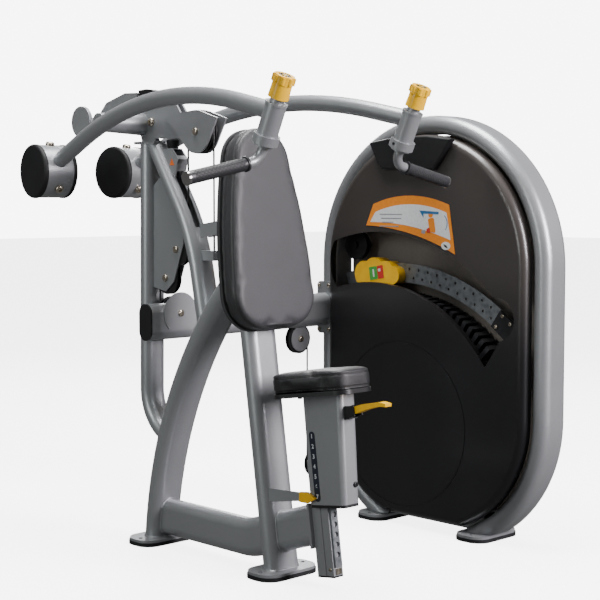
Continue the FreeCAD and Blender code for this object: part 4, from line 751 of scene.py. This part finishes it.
def welt(piece, frame_matrix, axis, level, centre, radius, sink, count=150):
    """A sewn welt round a cushion at one level, lying in its seam."""
    tree = BVHTree.FromObject(piece, bpy.context.evaluated_depsgraph_get())
    across = [i for i in range(3) if i != axis]
    points = []
    for i in range(count):
        angle = 2 * math.pi * i / count
        way = Vector((0.0, 0.0, 0.0))
        way[across[0]] = math.cos(angle)
        way[across[1]] = math.sin(angle)
        start = Vector((0.0, 0.0, 0.0))
        start[across[0]] = centre[0]
        start[across[1]] = centre[1]
        start[axis] = level
        outside = frame_matrix @ (start + way * 0.8)
        hit = tree.ray_cast(outside, (frame_matrix.to_3x3() @ -way))[0]
        if hit is not None:
            points.append(hit - (frame_matrix.to_3x3() @ way) * sink)
    return tube(points, radius, closed=True)


def dressed_pad(node, name, body, frame_matrix, axis, base, levels, centre, material, pads):
    """One cushion with its seams and welts, in place of its plain solid."""
    piece = foam(node, name, frame_matrix, axis, base, pads)
    seamed(piece, frame_matrix, axis, levels, pads.groove)
    finished(piece, name, material, body, 60.0)
    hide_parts(node)
    for i, level in enumerate(levels):
        ring = welt(piece, frame_matrix, axis, level, centre, pads.welt, pads.welt * 0.55)
        finished(ring, f"{name}_welt_{i + 1}", material, body, 60.0)


class PRESS_OT_backrest(bpy.types.Operator):
    """Backrest cushion with its side band and welts"""
    bl_idname = "press.backrest"
    bl_label = "Backrest cushion"

    def execute(self, context):
        scene = context.scene
        colour = tuple(scene.press_colours.vinyl)
        material = vinyl_finish("backrest_vinyl", colour, 0.42)
        matrix = leaning(LEG_FOOT, LEG_LEAN)
        dressed_pad("backrest_pad", "backrest_cushion", "frame", matrix, 1, BOARD_FACE,
                    [BOARD_FACE - seam for seam in BACK_SEAMS], BACK_MIDDLE, material, scene.press_pads)
        return {"FINISHED"}


class PRESS_OT_seat(bpy.types.Operator):
    """Seat cushion with its side band and welts"""
    bl_idname = "press.seat"
    bl_label = "Seat cushion"

    def execute(self, context):
        scene = context.scene
        colour = tuple(scene.press_colours.seat_vinyl)
        material = vinyl_finish("seat_vinyl", colour, 0.36)
        matrix = leaning(SEAT_FOOT, SEAT_LEAN)
        dressed_pad("seat_pad", "seat_cushion", "seat_carriage", matrix, 2, PAN_TOP,
                    [PAN_TOP + seam for seam in SEAT_SEAMS], SEAT_MIDDLE, material, scene.press_pads)
        return {"FINISHED"}


# ---------------------------------------------------------------- trim

class PRESS_OT_knob_insets(bpy.types.Operator):
    """Dark round insets in the tops of the two pull knobs"""
    bl_idname = "press.knob_insets"
    bl_label = "Knob insets"

    def execute(self, context):
        material = printed_finish("knob_inset_black", (0.012, 0.012, 0.012))
        ring_material = printed_finish("knob_inset_ring", (0.42, 0.27, 0.02))
        for side, hand in ((-1, "right"), (1, "left")):
            foot = Vector((side * HANDLE_FOOT.x, HANDLE_FOOT.y, HANDLE_FOOT.z))
            base = foot + HANDLE_UP * (KNOB_BASE + KNOB_HEIGHT - KNOB_INSET_DROP)
            place = top_frame(base, HANDLE_UP)
            inset = disc_piece(0.0168, 0.0024, place, 0.0005, 0.004, -0.0006)
            finished(inset, f"{hand}_knob_inset", material, f"{hand}_pull_knob")
            place = top_frame(base + HANDLE_UP * 0.0012, HANDLE_UP)
            mark = disc_piece(0.0075, 0.0014, place, 0.0004, 0.0022, -0.0004)
            finished(mark, f"{hand}_knob_mark", ring_material, f"{hand}_pull_knob")
        return {"FINISHED"}


class PRESS_OT_seat_scale(bpy.types.Operator):
    """Height scale with digits on the seat carriage's side"""
    bl_idname = "press.seat_scale"
    bl_label = "Seat scale"

    def execute(self, context):
        trim = context.scene.press_trim
        strip = printed_finish("scale_navy", (0.008, 0.014, 0.028))
        ink = printed_finish("scale_white", (0.72, 0.74, 0.76))
        matrix = leaning(SEAT_FOOT, SEAT_LEAN)
        middle = matrix @ SCALE_MIDDLE
        place = wall_frame(middle.x, middle.y, middle.z, SEAT_LEAN)
        plate = flat_piece(pill(*SCALE_STRIP), 0.0008, place, 0.0002)
        finished(plate, "seat_scale_strip", strip, "seat_carriage")
        count = trim.scale_digits
        for i in range(count):
            begin()
            bpy.ops.object.text_add()
            text = bpy.context.view_layer.objects.active
            text.data.body = str(i + 1)
            text.data.size = DIGIT_SIZE
            text.data.align_x = "CENTER"
            text.data.align_y = "CENTER"
            text.data.extrude = 0.00015
            text.data.offset = 0.0004
            digit = made_mesh(text)
            height = (count - 1) / 2 * trim.scale_step - i * trim.scale_step
            settled(digit, place @ Matrix.Translation((0.0, height, 0.00095)))
            finished(digit, f"seat_scale_digit_{i + 1}", ink, "seat_carriage")
        return {"FINISHED"}


def on_plate(points):
    """Flat points in the shroud's (-Y, Z) plane from (Y, Z) ones."""
    return [(-y, z) for y, z in points]


class PRESS_OT_instruction_plate(bpy.types.Operator):
    """White field and plain diagram on the instruction plate"""
    bl_idname = "press.instruction_plate"
    bl_label = "Instruction plate"

    def execute(self, context):
        colours = context.scene.press_colours
        inks = {
            "white": printed_finish("plate_white", (0.78, 0.79, 0.80)),
            "blue": printed_finish("plate_blue", (0.03, 0.16, 0.36)),
            "orange": printed_finish("plate_orange", tuple(colours.orange)),
            "red": printed_finish("plate_red", (0.62, 0.03, 0.02)),
            "grey": printed_finish("plate_grey", (0.30, 0.31, 0.33)),
            "black": printed_finish("plate_black", (0.02, 0.02, 0.022)),
        }
        plane = wall_frame(SHROUD_FACE - 0.0015, 0.0, 0.0)
        field = through((0.282, 1.040), (0.128, 1.066), (-0.026, 1.040), 16)
        field += through((-0.044, 0.952), (0.132, 0.995), (0.306, 1.006), 16)
        shapes = [
            ("field", "white", rounded([tuple(p) for p in field], 0.004, 2), 0.0003),
            ("arm_bar", "blue",
             [(0.070, 1.022), (0.088, 1.046), (0.006, 1.042), (0.006, 1.034), (0.070, 1.036)], 0.0006),
            ("torso", "orange",
             rounded([(0.052, 1.020), (0.026, 1.024), (0.018, 0.974), (0.044, 0.978)], 0.008), 0.0006),
            ("head", "orange", oval(0.040, 1.033, 0.010, 0.010, 16), 0.0005),
            ("hips", "red",
             rounded([(0.058, 0.986), (0.044, 0.992), (0.040, 0.976), (0.054, 0.974)], 0.004), 0.0008),
            ("seat_mark", "grey",
             rounded([(0.078, 0.982), (0.062, 0.984), (0.062, 0.972), (0.078, 0.972)], 0.003), 0.0006),
            ("corner", "white", oval(-0.024, 0.934, 0.019, 0.013, 24), 0.0003),
            ("corner_mark", "black",
             rounded([(-0.014, 0.940), (-0.026, 0.936), (-0.034, 0.926), (-0.020, 0.930)], 0.003), 0.0006),
        ]
        bow = through((-0.016, 1.030), (-0.028, 1.006), (-0.020, 0.984), 10)
        back = through((-0.022, 0.984), (-0.031, 1.006), (-0.018, 1.031), 10)
        shapes.append(("bow", "blue", [tuple(p) for p in bow + back], 0.0006))
        for i, (start, length) in enumerate(((0.262, 0.100), (0.256, 0.090), (0.250, 0.050), (0.262, 0.084))):
            top = 1.034 - 0.013 * i
            bar = [(start, top), (start, top - 0.0035), (start - length, top - 0.0035), (start - length, top)]
            shapes.append((f"line_{i + 1}", "grey", bar, 0.0006))
        for name, ink, outline, lift in shapes:
            piece = flat_piece(on_plate(outline), lift, plane)
            finished(piece, f"plate_{name}", inks[ink], "frame")
        return {"FINISHED"}


class PRESS_OT_selector_label(bpy.types.Operator):
    """Plain coloured label on the selector"""
    bl_idname = "press.selector_label"
    bl_label = "Selector label"

    def execute(self, context):
        low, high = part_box("selector")
        centre = (low + high) / 2
        inks = {
            "green": printed_finish("label_green", (0.06, 0.36, 0.05)),
            "red": printed_finish("label_red", (0.62, 0.03, 0.02)),
            "white": printed_finish("label_white", (0.75, 0.76, 0.76)),
        }
        place = wall_frame(low.x - 0.0002, centre.y, centre.z, LABEL_LEAN)
        w, h = LABEL_SIZE
        plates = [
            ("green", "green", rounded(rectangle(-w / 2, -h / 2, 0.004, h / 2), 0.004)),
            ("red", "red", rounded(rectangle(0.005, -h / 2, w / 2, h / 2), 0.004)),
            ("bar", "white", rounded(rectangle(-0.016, -0.013, -0.010, 0.013), 0.002)),
            ("dot", "white", rounded(rectangle(0.009, 0.002, 0.020, 0.012), 0.003)),
        ]
        for i, (name, ink, outline) in enumerate(plates):
            piece = flat_piece(outline, 0.0006 + 0.0004 * (i > 1), place)
            finished(piece, f"selector_label_{name}", inks[ink], "selector_slide")
        return {"FINISHED"}


class PRESS_OT_frame_sticker(bpy.types.Operator):
    """Small plain orange triangle on the stop bracket's side"""
    bl_idname = "press.frame_sticker"
    bl_label = "Frame sticker"

    def execute(self, context):
        place = wall_frame(*STICKER_AT)
        ink = printed_finish("sticker_orange", (0.80, 0.16, 0.02))
        outline = rounded([(-0.012, -0.010), (0.012, -0.010), (0.0, 0.012)], 0.003)
        finished(flat_piece(outline, 0.0004, place), "frame_sticker", ink, "frame")
        return {"FINISHED"}


class PRESS_OT_upper_cable(bpy.types.Operator):
    """The cable's two upper strands, from the guide up and over the yoke's wheel"""
    bl_idname = "press.upper_cable"
    bl_label = "Upper cable"

    def execute(self, context):
        trim = context.scene.press_trim
        rise = YOKE_CENTRE.z - GUIDE_HEIGHT
        heights = [GUIDE_HEIGHT + rise * i / CABLE_STEPS for i in range(CABLE_STEPS)]
        front = [Vector((0.0, YOKE_CENTRE.y - YOKE_RADIUS, height)) for height in heights]
        turns = [math.pi * i / YOKE_STEPS for i in range(YOKE_STEPS + 1)]
        over = [YOKE_CENTRE + Vector((0.0, -math.cos(turn), math.sin(turn))) * YOKE_RADIUS for turn in turns]
        rear = [Vector((0.0, YOKE_CENTRE.y + YOKE_RADIUS, height)) for height in reversed(heights)]
        strand = tube(front + over + rear, trim.cable)
        strand.name = "upper_cable"
        strand.data.materials.clear()
        strand.data.materials.append(bpy.data.materials["coated_cable"])
        smooth(strand, 60.0)
        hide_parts("yoke_cable")
        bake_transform(strand)
        return {"FINISHED"}


# ---------------------------------------------------------------- weld beads

# Name, node that the tube meets, point on its axis, way to the joint, half width, half height
WELDS = [
    ("base_rear", "rear_leg", (0, 0.400, 0.084), (0, 1, 0), 0.030, 0.0575),
    ("base_front", "front_leg", (0, 0.090, 0.0945), (0, -1, 0.32), 0.030, 0.0575),
    ("link_rear", "front_leg", (0, -0.060, 0.143), (0, 1, -0.32), 0.030, 0.0575),
    ("front_leg_foot", "foot_plates", (0, 0.010, 0.060), (0, -0.146, -1), 0.0575, 0.030),
    ("rear_leg_foot", "foot_plates", (0, 0.555, 0.060), (0, 0.083, -1), 0.0575, 0.030),
    ("rear_leg_top", "front_leg", (0, 0.230, 0.800), (0, -0.70, 0.68), 0.0575, 0.030),
]


def weld_loop(node, start, way, half_wide, half_high, count=72):
    """Where a flat-oval tube's skin meets the node it is welded to."""
    tree = BVHTree.FromObject(NODES[node], bpy.context.evaluated_depsgraph_get())
    way = Vector(way).normalized()
    side = (X_DIR - way * X_DIR.dot(way)).normalized()
    up = way.cross(side)
    radius = min(half_wide, half_high)
    stretch = max(half_wide, half_high) - radius
    points = []
    for i in range(count):
        angle = 2 * math.pi * i / count
        a, b = math.cos(angle), math.sin(angle)
        offset = Vector((a * radius, b * radius))
        if half_wide > half_high:
            offset.x += stretch if a > 0 else -stretch
        else:
            offset.y += stretch if b > 0 else -stretch
        spot = Vector(start) + side * offset.x + up * offset.y
        hit = tree.ray_cast(spot, way, WELD_REACH)[0]
        if hit is not None:
            points.append(hit)
    return points


def rippled(piece, step=0.006, depth=0.0005):
    """The overlapping scales that welding leaves along a bead."""
    normals = [vertex.normal.copy() for vertex in piece.data.vertices]
    for vertex, normal in zip(piece.data.vertices, normals):
        spot = vertex.co
        wave = math.sin((spot.x + spot.y * 0.9 + spot.z * 1.1) * 2 * math.pi / step)
        vertex.co = spot + normal * (wave * depth)


class PRESS_OT_welds(bpy.types.Operator):
    """Weld beads where the frame's tubes meet"""
    bl_idname = "press.welds"
    bl_label = "Weld beads"

    def execute(self, context):
        bead = context.scene.press_trim.bead
        material = bpy.data.materials["silver_powder_coat"]
        for name, node, start, way, wide, high in WELDS:
            points = weld_loop(node, start, way, wide, high)
            if len(points) < WELD_LEAST_POINTS:
                raise RuntimeError(f"weld {name} found only {len(points)} points")
            piece = tube(points, bead, closed=True, sides=2)
            rippled(piece)
            finished(piece, f"weld_{name}", material, "frame", 60.0)
        return {"FINISHED"}


# ---------------------------------------------------------------- finishes on the frame

class PRESS_OT_finishes(bpy.types.Operator):
    """Finishes of the machine's own parts"""
    bl_idname = "press.finishes"
    bl_label = "Finishes"

    def execute(self, context):
        colours = context.scene.press_colours
        by_slot = {
            "silver_paint": silver_finish(colours),
            "dark_steel": dark_steel_finish(),
            "screws": screw_finish(),
            "galvanised": galvanised_finish(),
            "rubber_black": rubber_finish(colours),
            "plastic_black": nylon_finish(colours),
            "shroud_plastic": shroud_finish(colours),
            "plastic_yellow": yellow_finish(colours),
            "vinyl": vinyl_finish("cover_vinyl", tuple(colours.vinyl), 0.42),
            "board": board_finish(),
            "panel_beige": panel_finish(colours),
            "placard_print": printed_finish("plate_border", tuple(colours.orange)),
            "cable_black": cable_finish(),
            "weights": cast_finish(),
        }
        own = {
            "right_grip": grip_finish("right_grip_rubber", -1, colours),
            "left_grip": grip_finish("left_grip_rubber", 1, colours),
        }
        for row in frame["record"]["subparts"]:
            node = row["node"]
            material = own.get(node) or by_slot[row["material_slot"]]
            data = NODES[node].data
            if not data.materials:
                data.materials.append(material)
            for i in range(len(data.materials)):
                data.materials[i] = material
        return {"FINISHED"}


# ---------------------------------------------------------------- studio

def area_light(name, place, size, power, colour=WHITE[:3]):
    light = bpy.data.lights.new(name, "AREA")
    light.shape = "RECTANGLE"
    light.size = size[0]
    light.size_y = size[1]
    light.energy = power
    light.color = colour
    lamp = bpy.data.objects.new(name, light)
    bpy.context.scene.collection.objects.link(lamp)
    lamp.location = place
    lamp.rotation_euler = (Vector(STUDIO_MIDDLE) - Vector(place)).to_track_quat("-Z", "Y").to_euler()


class PRESS_OT_studio(bpy.types.Operator):
    """Floor, soft lights and camera"""
    bl_idname = "press.studio"
    bl_label = "Studio"

    def execute(self, context):
        studio = context.scene.press_studio
        begin()
        bpy.ops.mesh.primitive_plane_add(size=studio.floor_size)
        floor = bpy.context.view_layer.objects.active
        floor.name = "studio_floor"
        paint = Paint("studio_floor_white", (0.90, 0.90, 0.90), 0.7, emission_strength=4.6,
                      specular_ior_level=0.15)
        paint.shader.inputs["Emission Color"].default_value = WHITE
        rubbed(paint, 0.01, 2.0)
        floor.data.materials.append(paint.material)
        floor.visible_glossy = False
        floor.visible_diffuse = False

        world = bpy.data.worlds.new("studio_world")
        context.scene.world = world
        world.use_nodes = True
        tree = world.node_tree
        sky = tree.nodes["Background"]
        sky.inputs["Color"].default_value = WHITE
        sky.inputs["Strength"].default_value = studio.sky_light
        backdrop = tree.nodes.new("ShaderNodeBackground")
        backdrop.inputs["Color"].default_value = WHITE
        backdrop.inputs["Strength"].default_value = studio.backdrop
        seen = tree.nodes.new("ShaderNodeLightPath")
        choice = tree.nodes.new("ShaderNodeMixShader")
        tree.links.new(seen.outputs["Is Camera Ray"], choice.inputs[0])
        tree.links.new(sky.outputs[0], choice.inputs[1])
        tree.links.new(backdrop.outputs[0], choice.inputs[2])
        tree.links.new(choice.outputs[0], tree.nodes["World Output"].inputs["Surface"])

        area_light("key_light", (1.4, -4.4, 2.4), (1.5, 2.2), 460.0, (1.0, 0.95, 1.0))
        area_light("fill_light", (-4.6, 0.4, 2.2), (1.2, 2.4), 85.0, (0.96, 1.0, 0.99))
        area_light("top_light", (0.2, 0.4, 4.4), (2.4, 1.6), 330.0)
        area_light("rim_light", (3.2, 3.6, 2.8), (1.6, 1.6), 120.0)

        lens = bpy.data.cameras.new("studio_camera")
        lens.sensor_width = SENSOR_WIDTH
        lens.lens = studio.lens
        lens.clip_start = 0.1
        lens.clip_end = 200.0
        camera = bpy.data.objects.new("studio_camera", lens)
        context.scene.collection.objects.link(camera)
        camera.location = studio.camera_at
        camera.rotation_euler = (math.pi / 2 - studio.pitch, 0.0, studio.azimuth)
        context.scene.camera = camera
        return {"FINISHED"}


# ---------------------------------------------------------------- panel and run

STEPS = (PRESS_OT_studio, PRESS_OT_finishes, PRESS_OT_backrest, PRESS_OT_seat, PRESS_OT_knob_insets,
         PRESS_OT_seat_scale, PRESS_OT_instruction_plate, PRESS_OT_selector_label,
         PRESS_OT_frame_sticker, PRESS_OT_upper_cable, PRESS_OT_welds)
GROUPS = {"press_pads": PressPads, "press_trim": PressTrim, "press_colours": PressColours,
          "press_studio": PressStudio}


class PRESS_PT_sidebar(bpy.types.Panel):
    """Steps and settings of the machine"""
    bl_label = "Press machine"
    bl_space_type = "VIEW_3D"
    bl_region_type = "UI"
    bl_category = "Press machine"

    def draw(self, context):
        column = self.layout.column()
        for step in STEPS:
            column.operator(step.bl_idname)
        for name, kind in GROUPS.items():
            group = getattr(context.scene, name)
            column.separator()
            for key in kind.__annotations__:
                column.prop(group, key)


def register():
    for kind in (*GROUPS.values(), *STEPS, PRESS_PT_sidebar):
        bpy.utils.register_class(kind)
    for name, kind in GROUPS.items():
        setattr(bpy.types.Scene, name, bpy.props.PointerProperty(type=kind))


def unregister():
    for name in GROUPS:
        delattr(bpy.types.Scene, name)
    for kind in reversed((*GROUPS.values(), *STEPS, PRESS_PT_sidebar)):
        bpy.utils.unregister_class(kind)


def main():
    register()
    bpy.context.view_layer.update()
    for step in STEPS:
        group, name = step.bl_idname.split(".")
        getattr(getattr(bpy.ops, group), name)()


if __name__ == "__main__":
    main()
